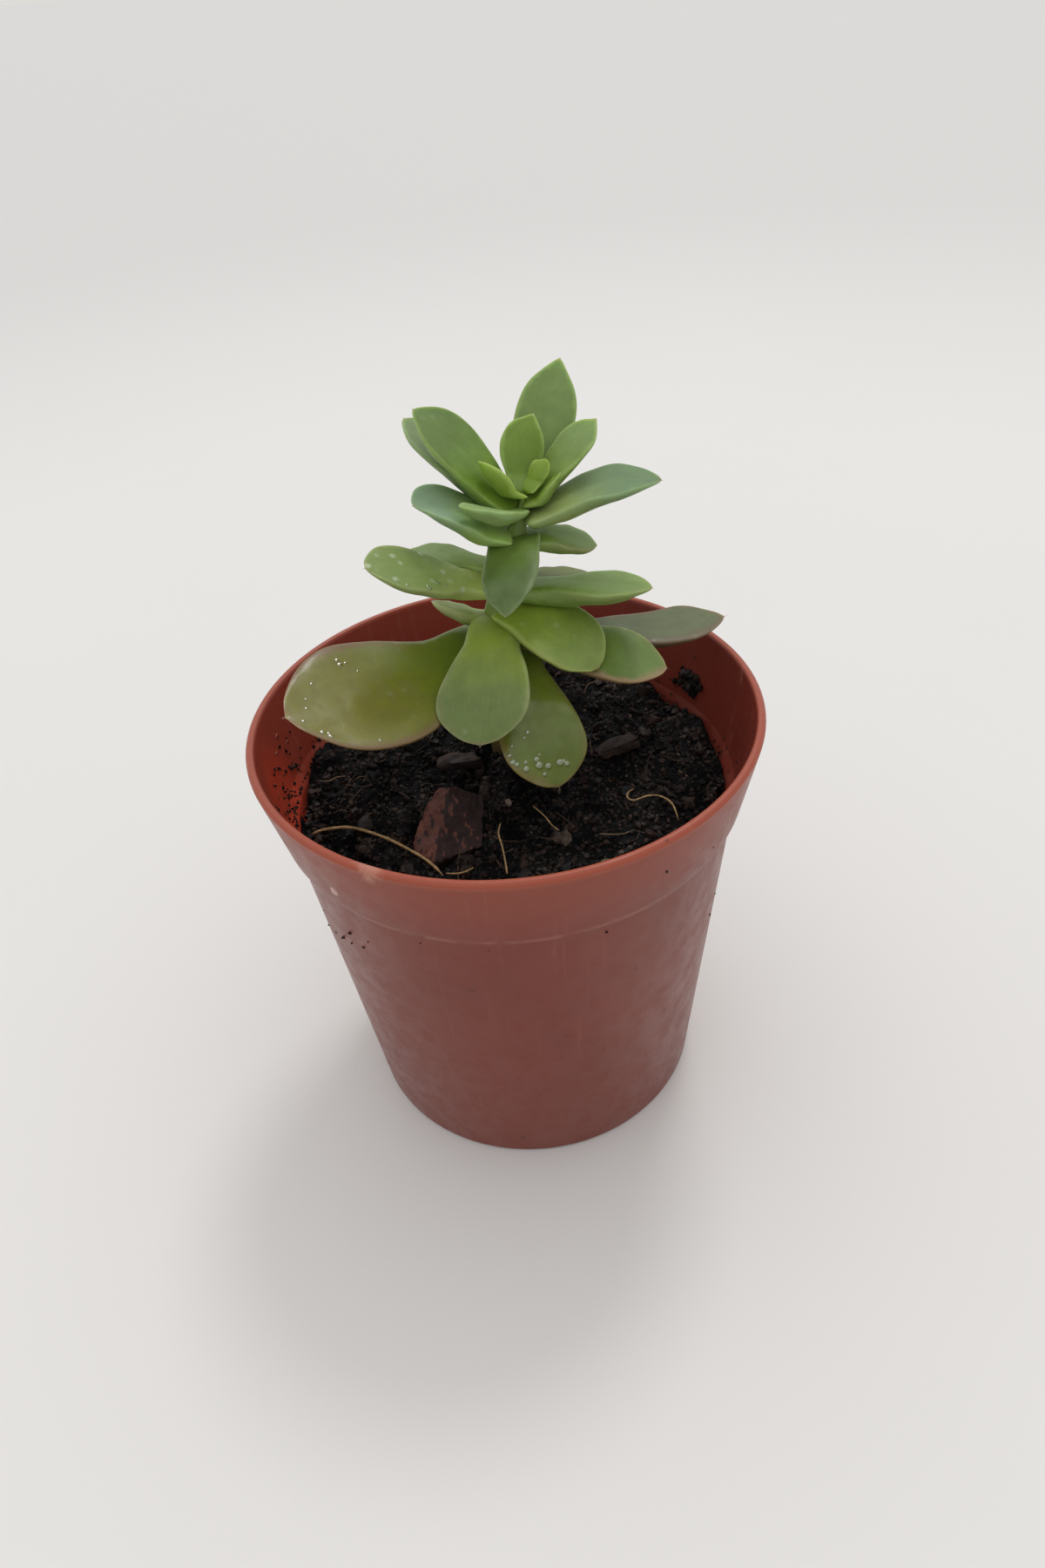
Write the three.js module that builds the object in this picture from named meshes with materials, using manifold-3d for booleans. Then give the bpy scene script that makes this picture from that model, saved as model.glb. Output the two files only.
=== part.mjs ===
// Potted succulent: a young rosette-forming stonecrop in a small thrown-away nursery pot.
// Millimetres, +Z up. The origin is on the floor, on the pot's axis. +X is the plant's right
// and -Y its front. The pot, the soil, the stem and every leaf are solids of their own.

import * as THREE from 'three';
import * as BufferGeometryUtils from 'three/addons/utils/BufferGeometryUtils.js';
import Module from 'manifold-3d';

const wasm = await Module();
wasm.setup();

// ---------------------------------------------------------------- driving dimensions

// Pot: thin-walled moulded nursery pot.
const POT_HEIGHT = 51;
const RIM_RADIUS = 27.5;
const RIM_ROOT_RADIUS = 25.6;     // outside of the rim band at its lower edge
const RIM_DEPTH = 9.2;            // height of the rim band
const BODY_TOP_RADIUS = 24.7;     // body just below the rim band
const FOOT_RADIUS = 20.4;
const WALL = 0.9;
const STEP = 1.3;                 // height of the slope under the rim band
const LIP_ROUND = 0.3;
const FOOT_RECESS = 1.2;          // the base plate sits this far above the floor
const BASE_PLATE = 1.1;
const FOOT_RING = 2.6;            // width of the ring the pot stands on
const POT_SIDES = 64;
const DRAIN_HOLES = 8;
const DRAIN_RADIUS = 1.8;
const DRAIN_CIRCLE = 11.5;

// Soil and what lies in it.
const SOIL_LEVEL = 41;
const SOIL_GAP = 0.35;            // the root ball has shrunk this far from the wall
const SOIL_RINGS = 11;
const SOIL_SIDES = 40;
const CLEARANCE = 0.3;
const CHIP_CLEARANCE = 0.45;      // measured from the chip's middle, so its faces clear by less

// Stem: [x, y, z, radius] from its cut end in the soil to the growing tip.
const STEM = [
  [0.5, 6.0, 30.0, 1.9],
  [0.5, 6.0, 40.0, 2.4],
  [0.5, 6.0, 50.0, 2.2],
  [0.8, 6.0, 59.0, 2.0],
  [2.0, 6.2, 64.5, 1.75],
  [3.3, 6.45, 69.0, 1.45],
  [4.0, 6.6, 71.8, 0.95],
];
const STEM_SIDES = 12;
const STEM_RINGS = 16;

// Leaf shape shared by all leaves.
const LEAF_SIDES = 12;
const LEAF_RINGS = 13;
const LEAF_GAP = 0.3;             // between the stem's surface and the leaf's root
const LEAF_CUP = 0.12;            // how far the margins rise above the middle, per half width
const UPPER_SHARE = 0.35;         // share of the thickness above the leaf's middle surface
const TIP_POINT = 0.14;           // half width of the small point at the tip
const TIP_START = 0.96;           // where along the leaf the blade has closed

// One line per leaf. height: where it leaves the stem. azimuth: 0 is +X, 90 is the back.
// rise: slope at the root. droop, sweep: how much the slope and the azimuth change by the tip.
// roll: turn about its own length. neck: root width as a share of the full width.
// widest: where along the leaf it is widest. blunt: 0.45 is round, 0.8 is pointed.
const LEAVES = [
  { name: 'low_leaf_left', height: 55.1, azimuth: 216, rise: 1, droop: 20, sweep: 3,
    roll: -24, length: 25.1, width: 13.8, thick: 2.8, neck: 0.15, widest: 0.62, blunt: 0.5 },
  { name: 'low_leaf_far_right', height: 56.4, azimuth: 5, rise: -13, droop: 23, sweep: 0,
    roll: 5, length: 22.8, width: 6.7, thick: 2.2, neck: 0.28, widest: 0.78, blunt: 0.6 },
  { name: 'low_leaf_front_right', height: 56.7, azimuth: 283, rise: -33, droop: -11, sweep: 9,
    roll: -5, length: 17, width: 9.4, thick: 2.8, neck: 0.28, widest: 0.74, blunt: 0.5 },
  { name: 'low_leaf_right', height: 57.2, azimuth: -28, rise: -8, droop: -7, sweep: 21,
    roll: 16, length: 16.2, width: 7.4, thick: 2.6, neck: 0.35, widest: 0.69, blunt: 0.55 },
  { name: 'low_leaf_stub', height: 58.6, azimuth: 174, rise: 20, droop: 6, sweep: 0,
    roll: 15, length: 5.6, width: 3.3, thick: 1.5, neck: 0.6, widest: 0.5, blunt: 0.5 },
  { name: 'low_leaf_front', height: 59.2, azimuth: 256, rise: -18, droop: -20, sweep: 4,
    roll: 4, length: 15, width: 9.7, thick: 2.6, neck: 0.32, widest: 0.72, blunt: 0.45 },
  { name: 'mid_leaf_front_right', height: 60.3, azimuth: -45, rise: -13, droop: -24, sweep: 8,
    roll: 3, length: 11.1, width: 8.7, thick: 2.4, neck: 0.66, widest: 0.54, blunt: 0.45 },
  { name: 'mid_leaf_back_right', height: 61.5, azimuth: 36, rise: -10, droop: -12, sweep: -3,
    roll: -5, length: 10.4, width: 5, thick: 1.8, neck: 0.4, widest: 0.6, blunt: 0.5 },
  { name: 'mid_leaf_right', height: 61.9, azimuth: -15, rise: 2, droop: 2, sweep: -3,
    roll: -8, length: 13.5, width: 7.4, thick: 2.4, neck: 0.25, widest: 0.7, blunt: 0.6 },
  { name: 'mid_leaf_left', height: 62.4, azimuth: 207, rise: 31, droop: -8, sweep: 13,
    roll: -23, length: 15.5, width: 6.6, thick: 2.4, neck: 0.2, widest: 0.72, blunt: 0.5 },
  { name: 'mid_leaf_back_left', height: 64, azimuth: 164, rise: 10, droop: -1, sweep: 0,
    roll: 7, length: 9.2, width: 5.9, thick: 2.1, neck: 0.36, widest: 0.66, blunt: 0.5 },
  { name: 'mid_leaf_small_right', height: 67.3, azimuth: 2, rise: -13, droop: -6, sweep: 0,
    roll: 4, length: 6.9, width: 4.9, thick: 1.8, neck: 0.53, widest: 0.59, blunt: 0.6 },
  { name: 'mid_leaf_front', height: 67.5, azimuth: 264, rise: -3, droop: -27, sweep: -7,
    roll: 10, length: 10.9, width: 5.7, thick: 2.2, neck: 0.88, widest: 0.49, blunt: 0.6 },
  { name: 'crown_leaf_left', height: 67.7, azimuth: 183, rise: 43, droop: -33, sweep: 25,
    roll: -4, length: 9.9, width: 9, thick: 2, neck: 0.6, widest: 0.62, blunt: 0.55 },
  { name: 'crown_leaf_right', height: 69.2, azimuth: 3, rise: 25, droop: -31, sweep: -13,
    roll: -1, length: 13.5, width: 7.6, thick: 2, neck: 0.67, widest: 0.66, blunt: 0.6 },
  { name: 'crown_leaf_left_upper', height: 69.4, azimuth: 133, rise: 30, droop: -3, sweep: 10,
    roll: 6, length: 15.7, width: 6.6, thick: 1.8, neck: 0.29, widest: 0.7, blunt: 0.55 },
  { name: 'crown_leaf_front_left', height: 70.2, azimuth: 232, rise: 25, droop: 6, sweep: -18,
    roll: 4, length: 7.9, width: 4.2, thick: 1.4, neck: 0.71, widest: 0.5, blunt: 0.5 },
  { name: 'crown_leaf_back', height: 70, azimuth: 68, rise: 39, droop: 1, sweep: -3,
    roll: 22, length: 17, width: 6.3, thick: 1.8, neck: 0.47, widest: 0.58, blunt: 0.7 },
  { name: 'crown_leaf_left_inner', height: 70.3, azimuth: 154, rise: 50, droop: -10, sweep: 8,
    roll: -2, length: 13.4, width: 7.9, thick: 1.8, neck: 0.44, widest: 0.66, blunt: 0.6 },
  { name: 'crown_leaf_right_inner', height: 70.6, azimuth: 31, rise: 41, droop: -10, sweep: 1,
    roll: 4, length: 10.6, width: 4.9, thick: 1.3, neck: 0.35, widest: 0.69, blunt: 0.75 },
  { name: 'bud_leaf_right', height: 70.7, azimuth: -24, rise: 50, droop: 3, sweep: 1,
    roll: 7, length: 4.7, width: 2.4, thick: 0.9, neck: 0.6, widest: 0.56, blunt: 0.55 },
  { name: 'bud_leaf_left', height: 71.7, azimuth: 203, rise: 61, droop: -10, sweep: 9,
    roll: 6, length: 5.4, width: 4.3, thick: 1, neck: 0.59, widest: 0.61, blunt: 0.5 },
  { name: 'crown_leaf_centre', height: 71.6, azimuth: 90, rise: 53, droop: -14, sweep: -50,
    roll: 13, length: 8.2, width: 4.5, thick: 1.2, neck: 0.39, widest: 0.54, blunt: 0.65 },
  { name: 'bud_leaf_centre', height: 72.2, azimuth: 36, rise: 52, droop: -5, sweep: -3,
    roll: 6, length: 3, width: 2.6, thick: 0.8, neck: 0.7, widest: 0.56, blunt: 0.5 },
];

// Loose pieces half sunk in the soil: centre, half sizes, turn about Z and tilt, in degrees.
const DEBRIS = [
  { name: 'bark_sliver_left', kind: 'bark', at: [-5.6, 3.2, 42.0], half: [2.6, 1.1, 0.7], turn: 12, tilt: 8 },
  { name: 'bark_sliver_right', kind: 'bark', at: [12.6, 3.2, 42.2], half: [2.9, 1.0, 0.8], turn: 30, tilt: 5 },
  { name: 'perlite_left', kind: 'perlite', at: [-20.9, 7.9, 40.2], half: [1.3, 1.1, 1.0], turn: 20, tilt: 0 },
  { name: 'perlite_front', kind: 'perlite', at: [9.0, -16.2, 41.6], half: [1.2, 0.8, 0.8], turn: 60, tilt: 0 },
];

// Corners of the broken bark chip: a leaning wedge whose ridge runs down from its top to the front.
const CHIP_CORNERS = [
  [-6.4, -5.5, 45.4], [-7.6, -5.3, 45.0], [-10.5, -8.4, 42.0], [-10.8, -10.6, 41.0], [-8.7, -12.3, 40.8],
  [-7.0, -11.0, 41.4], [-3.5, -10.7, 41.0], [-3.1, -4.7, 43.0], [-5.0, -4.0, 43.2], [-9.4, -5.2, 41.6],
  [-10.0, -8.0, 38.6], [-8.0, -11.0, 38.4], [-4.4, -9.4, 38.8], [-5.8, -5.4, 38.8],
];

// ------------------------------------------------------------------------- helpers

const radians = THREE.MathUtils.degToRad;
const clamp = THREE.MathUtils.clamp;

// Turns a geometry into a closed solid that manifold can cut.
function toSolid(geometry) {
  const bare = geometry.clone();
  bare.deleteAttribute('normal');
  bare.deleteAttribute('uv');
  const merged = BufferGeometryUtils.mergeVertices(bare, 1e-4);
  return new wasm.Manifold(new wasm.Mesh({
    numProp: 3,
    vertProperties: merged.attributes.position.array,
    triVerts: new Uint32Array(merged.index.array),
  }));
}

function toGeometry(solid) {
  const mesh = solid.getMesh();
  const geometry = new THREE.BufferGeometry();
  geometry.setAttribute('position', new THREE.BufferAttribute(mesh.vertProperties, 3));
  geometry.setIndex(new THREE.BufferAttribute(mesh.triVerts, 1));
  geometry.computeVertexNormals();
  return geometry;
}

// Moves every vertex of a geometry by a function of its place.
function reshape(geometry, place) {
  const position = geometry.attributes.position;
  const point = new THREE.Vector3();
  for (let i = 0; i < position.count; i++) {
    point.fromBufferAttribute(position, i);
    const moved = place(point);
    position.setXYZ(i, moved.x, moved.y, moved.z);
  }
  geometry.computeVertexNormals();
  return geometry;
}

const finishes = {
  terracotta: new THREE.MeshStandardMaterial({ color: 0x7a3f31, roughness: 0.45, metalness: 0 }),
  peat: new THREE.MeshStandardMaterial({ color: 0x1b1513, roughness: 0.95, metalness: 0 }),
  stem: new THREE.MeshStandardMaterial({ color: 0x7f8a4c, roughness: 0.6, metalness: 0 }),
  leaf: new THREE.MeshStandardMaterial({ color: 0x718244, roughness: 0.5, metalness: 0 }),
  bark: new THREE.MeshStandardMaterial({ color: 0x54382c, roughness: 0.9, metalness: 0 }),
  perlite: new THREE.MeshStandardMaterial({ color: 0xb4b1a2, roughness: 0.9, metalness: 0 }),
};

const plant = new THREE.Group();

function add(name, geometry, finish) {
  const mesh = new THREE.Mesh(geometry, finish);
  mesh.name = name;
  plant.add(mesh);
}

// Inner radius of the pot's wall at a height.
function innerRadius(z) {
  const stepFoot = POT_HEIGHT - RIM_DEPTH - STEP;
  if (z > POT_HEIGHT - RIM_DEPTH) {
    const share = (z - POT_HEIGHT + RIM_DEPTH) / RIM_DEPTH;
    return RIM_ROOT_RADIUS + (RIM_RADIUS - RIM_ROOT_RADIUS) * share - WALL;
  }
  if (z > stepFoot) {
    const share = (z - stepFoot) / STEP;
    return BODY_TOP_RADIUS + (RIM_ROOT_RADIUS - BODY_TOP_RADIUS) * share - WALL;
  }
  return FOOT_RADIUS + (BODY_TOP_RADIUS - FOOT_RADIUS) * (z / stepFoot) - WALL;
}

// ----------------------------------------------------------------------------- pot

// The wall's section as a closed outline, then drain holes through the base plate.
function makePot() {
  const stepFoot = POT_HEIGHT - RIM_DEPTH - STEP;
  const plateTop = FOOT_RECESS + BASE_PLATE;
  const ringInner = FOOT_RADIUS - FOOT_RING;
  const outline = [
    [0, FOOT_RECESS],
    [ringInner - 0.6, FOOT_RECESS],
    [ringInner, 0],
    [FOOT_RADIUS - LIP_ROUND, 0],
    [FOOT_RADIUS, LIP_ROUND],
    [BODY_TOP_RADIUS, stepFoot],
    [RIM_ROOT_RADIUS, POT_HEIGHT - RIM_DEPTH],
    [RIM_RADIUS, POT_HEIGHT - LIP_ROUND],
    [RIM_RADIUS - LIP_ROUND, POT_HEIGHT],
    [RIM_RADIUS - WALL + 0.1, POT_HEIGHT],
    [RIM_RADIUS - WALL - 0.1, POT_HEIGHT - LIP_ROUND],
    [innerRadius(POT_HEIGHT - RIM_DEPTH), POT_HEIGHT - RIM_DEPTH],
    [innerRadius(stepFoot), stepFoot],
    [innerRadius(plateTop + 1), plateTop + 1],
    [innerRadius(plateTop) - 1, plateTop],
    [0, plateTop],
  ];
  const profile = outline.map(([r, z]) => new THREE.Vector2(r, z));
  const lathe = new THREE.LatheGeometry(profile, POT_SIDES).rotateX(Math.PI / 2);
  let pot = toSolid(lathe);
  for (let i = 0; i < DRAIN_HOLES; i++) {
    const angle = (i / DRAIN_HOLES) * Math.PI * 2;
    const drill = new THREE.CylinderGeometry(DRAIN_RADIUS, DRAIN_RADIUS, plateTop * 3, 12);
    drill.rotateX(Math.PI / 2);
    drill.translate(DRAIN_CIRCLE * Math.cos(angle), DRAIN_CIRCLE * Math.sin(angle), plateTop / 2);
    pot = pot.subtract(toSolid(drill));
  }
  return pot;
}

// ---------------------------------------------------------------------------- stem

// Centre and radius of the stem at a height.
function stemAt(z) {
  const last = STEM.length - 1;
  let i = 0;
  while (i < last - 1 && z > STEM[i + 1][2]) {
    i++;
  }
  const [ax, ay, az, ar] = STEM[i];
  const [bx, by, bz, br] = STEM[i + 1];
  const share = clamp((z - az) / (bz - az), 0, 1);
  return {
    x: ax + (bx - ax) * share,
    y: ay + (by - ay) * share,
    radius: ar + (br - ar) * share,
  };
}

// A sphere stretched along the stem: its poles are the cut end and the growing tip.
function makeStem(swell) {
  const foot = STEM[0][2] - swell;
  const top = STEM[STEM.length - 1][2] + swell;
  const sphere = new THREE.SphereGeometry(1, STEM_SIDES, STEM_RINGS).rotateX(Math.PI / 2);
  reshape(sphere, (p) => {
    const share = (Math.asin(clamp(p.z, -1, 1)) / Math.PI) + 0.5;
    const z = foot + (top - foot) * share;
    const at = stemAt(z);
    const closing = Math.min(1, Math.sqrt(Math.max(0, 1 - p.z * p.z)) * 2.6);
    const ring = Math.hypot(p.x, p.y) || 1;
    const radius = (at.radius + swell) * closing;
    return new THREE.Vector3(at.x + (p.x / ring) * radius, at.y + (p.y / ring) * radius, z);
  });
  return toSolid(sphere);
}

// ---------------------------------------------------------------------------- leaf

// Half width of the blade, as a share of its greatest, at a share of its length.
function bladeWidth(s, neck, widest, blunt) {
  const q = s / TIP_START;
  const rising = neck + (1 - neck) * Math.sin((Math.PI / 2) * clamp(q / widest, 0, 1)) ** 1.4;
  const closing = (1 - clamp((q - widest) / (1 - widest), 0, 1) ** 2) ** blunt;
  const root = Math.sqrt(clamp(s / 0.06, 0, 1));
  const point = TIP_POINT * clamp((1 - s) / 0.12, 0, 1) * clamp(s / 0.1, 0, 1);
  return Math.max(rising * closing * root, point);
}

// Thickness of the blade, as a share of its greatest.
function bladeThickness(s) {
  return (0.4 + 0.6 * Math.sin(Math.PI * s ** 0.8)) * bladeWidth(s, 1, 0.7, 0.45);
}

// Centreline of a leaf in small steps, each turning as the leaf droops and sweeps.
function leafLine(leaf) {
  const steps = 60;
  const start = stemAt(leaf.height);
  const azimuth = radians(leaf.azimuth);
  const reach = start.radius + LEAF_GAP;
  const root = [start.x + reach * Math.cos(azimuth), start.y + reach * Math.sin(azimuth), leaf.height];
  const place = new THREE.Vector3(...root);
  const line = [];
  for (let i = 0; i <= steps; i++) {
    const bend = (i / steps) ** 1.5;
    const slope = radians(leaf.rise + leaf.droop * bend);
    const heading = radians(leaf.azimuth + leaf.sweep * bend);
    const along = new THREE.Vector3(
      Math.cos(slope) * Math.cos(heading), Math.cos(slope) * Math.sin(heading), Math.sin(slope));
    if (i > 0) {
      place.addScaledVector(along.clone().add(line[i - 1].along), leaf.length / steps / 2);
    }
    line.push({ place: place.clone(), along, heading });
  }
  return line;
}

// A sphere drawn out along the leaf's centreline: one pole is the root, the other the tip.
function makeLeaf(leaf) {
  const line = leafLine(leaf);
  const roll = radians(leaf.roll);
  const sphere = new THREE.SphereGeometry(1, LEAF_SIDES, LEAF_RINGS);
  reshape(sphere, (p) => {
    const s = (1 - p.y) / 2;
    const { place, along, heading } = line[Math.round(s * (line.length - 1))];
    const level = new THREE.Vector3(-Math.sin(heading), Math.cos(heading), 0);
    const upright = new THREE.Vector3().crossVectors(along, level);
    const side = level.clone().multiplyScalar(Math.cos(roll)).addScaledVector(upright, Math.sin(roll));
    const face = upright.multiplyScalar(Math.cos(roll)).addScaledVector(level, -Math.sin(roll));
    const ring = Math.hypot(p.x, p.z) || 1;
    const across = p.x / ring;
    const up = p.z / ring;
    const half = (leaf.width / 2) * bladeWidth(s, leaf.neck, leaf.widest, leaf.blunt);
    const depth = leaf.thick * bladeThickness(s) * (up > 0 ? UPPER_SHARE : 1 - UPPER_SHARE);
    const cup = LEAF_CUP * half * across * across;
    return place.clone().addScaledVector(side, half * across).addScaledVector(face, depth * up + cup);
  });
  return toSolid(sphere);
}

// ---------------------------------------------------------------------------- soil

// Height of the loose, uneven surface. It dips where it has drawn back from the left wall.
function soilHeight(x, y) {
  const tilt = 0.09 * y;
  const lumps = 1.0 * Math.sin(0.33 * x + 0.8) * Math.cos(0.29 * y - 0.5)
    + 0.6 * Math.sin(0.71 * x - 0.37 * y + 1.3)
    + 0.35 * Math.sin(1.15 * x + 0.9 * y);
  const dip = 4.2 * Math.exp(-((x + 21) ** 2 + (y + 6) ** 2) / 34);
  const heap = 1.2 * Math.exp(-((x - STEM[1][0]) ** 2 + (y - STEM[1][1]) ** 2) / 30);
  return SOIL_LEVEL + tilt + lumps - dip + heap;
}

// A lathed plug with its top pushed up and down, cut by the stem and the loose pieces.
function makeSoil(cutters) {
  const floor = FOOT_RECESS + BASE_PLATE + CLEARANCE;
  const profile = [new THREE.Vector2(0, floor)];
  profile.push(new THREE.Vector2(innerRadius(floor) - 1.6, floor));
  profile.push(new THREE.Vector2(innerRadius(floor + 2) - SOIL_GAP, floor + 2));
  profile.push(new THREE.Vector2(innerRadius(SOIL_LEVEL * 0.6) - SOIL_GAP, SOIL_LEVEL * 0.6));
  for (let i = 0; i <= SOIL_RINGS; i++) {
    profile.push(new THREE.Vector2((SOIL_RINGS - i) / SOIL_RINGS, SOIL_LEVEL));
  }
  const plug = new THREE.LatheGeometry(profile, SOIL_SIDES).rotateX(Math.PI / 2);
  reshape(plug, (p) => {
    if (p.z < SOIL_LEVEL - 1) {
      return p;
    }
    const share = Math.hypot(p.x, p.y);
    const angle = Math.atan2(p.y, p.x);
    const reach = innerRadius(SOIL_LEVEL * 0.6) - SOIL_GAP;
    const edgeX = reach * Math.cos(angle);
    const edgeY = reach * Math.sin(angle);
    const edge = innerRadius(Math.min(soilHeight(edgeX, edgeY), POT_HEIGHT - RIM_DEPTH - STEP)) - SOIL_GAP;
    const x = edge * share * Math.cos(angle);
    const y = edge * share * Math.sin(angle);
    return new THREE.Vector3(x, y, soilHeight(x, y));
  });
  let soil = toSolid(plug);
  for (const cutter of cutters) {
    soil = soil.subtract(cutter);
  }
  return soil;
}

// -------------------------------------------------------------------------- debris

// A splinter of bark is blocky and ridged; a crumb of perlite is round and pitted.
function makeDebris(piece, swell) {
  const ball = new THREE.IcosahedronGeometry(1, piece.kind === 'bark' ? 2 : 1);
  reshape(ball, (p) => {
    const ridge = 0.1 * Math.sin(5 * p.x + 3 * p.z) + 0.08 * Math.sin(7 * p.y - 4 * p.x);
    const block = piece.kind === 'bark' ? 1 / Math.max(Math.abs(p.x), Math.abs(p.y), Math.abs(p.z)) : 1;
    const size = (1 + ridge) * (0.55 + 0.45 * block);
    return new THREE.Vector3(
      p.x * size * piece.half[0] + p.x * swell,
      p.y * size * piece.half[1] + p.y * swell,
      p.z * size * piece.half[2] + p.z * swell);
  });
  ball.rotateY(radians(piece.tilt));
  ball.rotateZ(radians(piece.turn));
  ball.translate(...piece.at);
  return toSolid(ball);
}

// The bark chip is the solid inside its corners; its socket is the same shape a little larger.
function makeChip(swell) {
  const middle = new THREE.Vector3();
  for (const corner of CHIP_CORNERS) {
    middle.addScaledVector(new THREE.Vector3(...corner), 1 / CHIP_CORNERS.length);
  }
  const corners = CHIP_CORNERS.map((corner) => {
    const out = new THREE.Vector3(...corner).sub(middle);
    return out.setLength(out.length() + swell).add(middle).toArray();
  });
  return wasm.Manifold.hull(corners);
}

// ------------------------------------------------------------------------ assembly

const sockets = DEBRIS.map((piece) => makeDebris(piece, CLEARANCE));
sockets.push(makeStem(CLEARANCE), makeChip(CHIP_CLEARANCE));

add('pot', toGeometry(makePot()), finishes.terracotta);
add('soil', toGeometry(makeSoil(sockets)), finishes.peat);
add('stem', toGeometry(makeStem(0)), finishes.stem);
for (const leaf of LEAVES) {
  add(leaf.name, toGeometry(makeLeaf(leaf)), finishes.leaf);
}
add('bark_chip', toGeometry(makeChip(0)), finishes.bark);
for (const piece of DEBRIS) {
  add(piece.name, toGeometry(makeDebris(piece, 0)), finishes[piece.kind]);
}

export default plant;
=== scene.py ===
"""Looks for a young potted succulent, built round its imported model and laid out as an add-on."""

import math
import random

import bmesh
import bpy
from mathutils import Matrix, Vector, noise
from mathutils.bvhtree import BVHTree


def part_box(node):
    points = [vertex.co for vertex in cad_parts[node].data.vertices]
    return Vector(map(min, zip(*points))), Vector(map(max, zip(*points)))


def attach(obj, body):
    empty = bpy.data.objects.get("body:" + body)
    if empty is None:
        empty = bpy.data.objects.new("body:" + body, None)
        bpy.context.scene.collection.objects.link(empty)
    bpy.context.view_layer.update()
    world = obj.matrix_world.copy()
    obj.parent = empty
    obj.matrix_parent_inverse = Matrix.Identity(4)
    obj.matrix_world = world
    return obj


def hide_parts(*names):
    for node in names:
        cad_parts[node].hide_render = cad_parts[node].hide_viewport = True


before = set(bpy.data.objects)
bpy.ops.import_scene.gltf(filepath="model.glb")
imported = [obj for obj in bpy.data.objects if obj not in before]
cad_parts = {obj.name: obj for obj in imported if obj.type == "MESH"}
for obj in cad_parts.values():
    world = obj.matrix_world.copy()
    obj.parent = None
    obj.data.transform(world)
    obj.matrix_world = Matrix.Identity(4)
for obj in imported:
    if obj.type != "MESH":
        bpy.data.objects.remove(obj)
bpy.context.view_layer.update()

bl_info = {
    "name": "Potted succulent",
    "version": (1, 0, 0),
    "blender": (4, 5, 0),
    "location": "3D View > Sidebar > Succulent",
    "description": "Builds the pot, soil, stem, leaves and small debris of a young potted succulent",
    "category": "Add Mesh",
}

MM = 0.001
BODY = "root"
MERGE = 1e-6
POT_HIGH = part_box("pot")[1]
SOIL_LOW, SOIL_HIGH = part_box("soil")
POLE_EDGES = 12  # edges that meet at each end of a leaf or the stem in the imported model
UP = Vector((0, 0, 1))

LIP_ROUND = 0.35 * MM
BEVEL = 0.14 * MM
BASE_TOP, FOOT_RECESS, FOOT_RING = 2.3 * MM, 1.2 * MM, 2.6 * MM
DRAIN_CIRCLE, DRAIN_RADIUS, DRAIN_MIDDLE, DRILL_LENGTH = 11.5 * MM, 1.8 * MM, 1.7 * MM, 6 * MM
POT_CREASE, POT_SHARP, CRUMB_SHARP = 12, 40, 50  # degrees

SOIL_FLOOR = SOIL_LOW.z + 0.2 * MM
SOIL_LEVEL, SOIL_LOWEST_TOP = 41 * MM, 34 * MM  # used where the packed soil has no top under a point
SOIL_SMOOTHING = 6
SOIL_SKIRT = ((1.2, 0.992), (8, 0.97), (18, 0.95), (10.5, 0.93))  # drop in mm, then shrink, of each row
CRUMB_REACH, STRAND_REACH, STRAND_LIMIT = 23 * MM, 21.5 * MM, 22.6 * MM
CRUMB_KINDS, DIRT_KINDS = 14, 10

BEAD_FLATNESS = 0.28  # height of a bead of water as a share of its radius
FLESH_RADII = (0.75, 1.0, 0.3)  # how far red, green and blue light spread in the flesh

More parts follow.
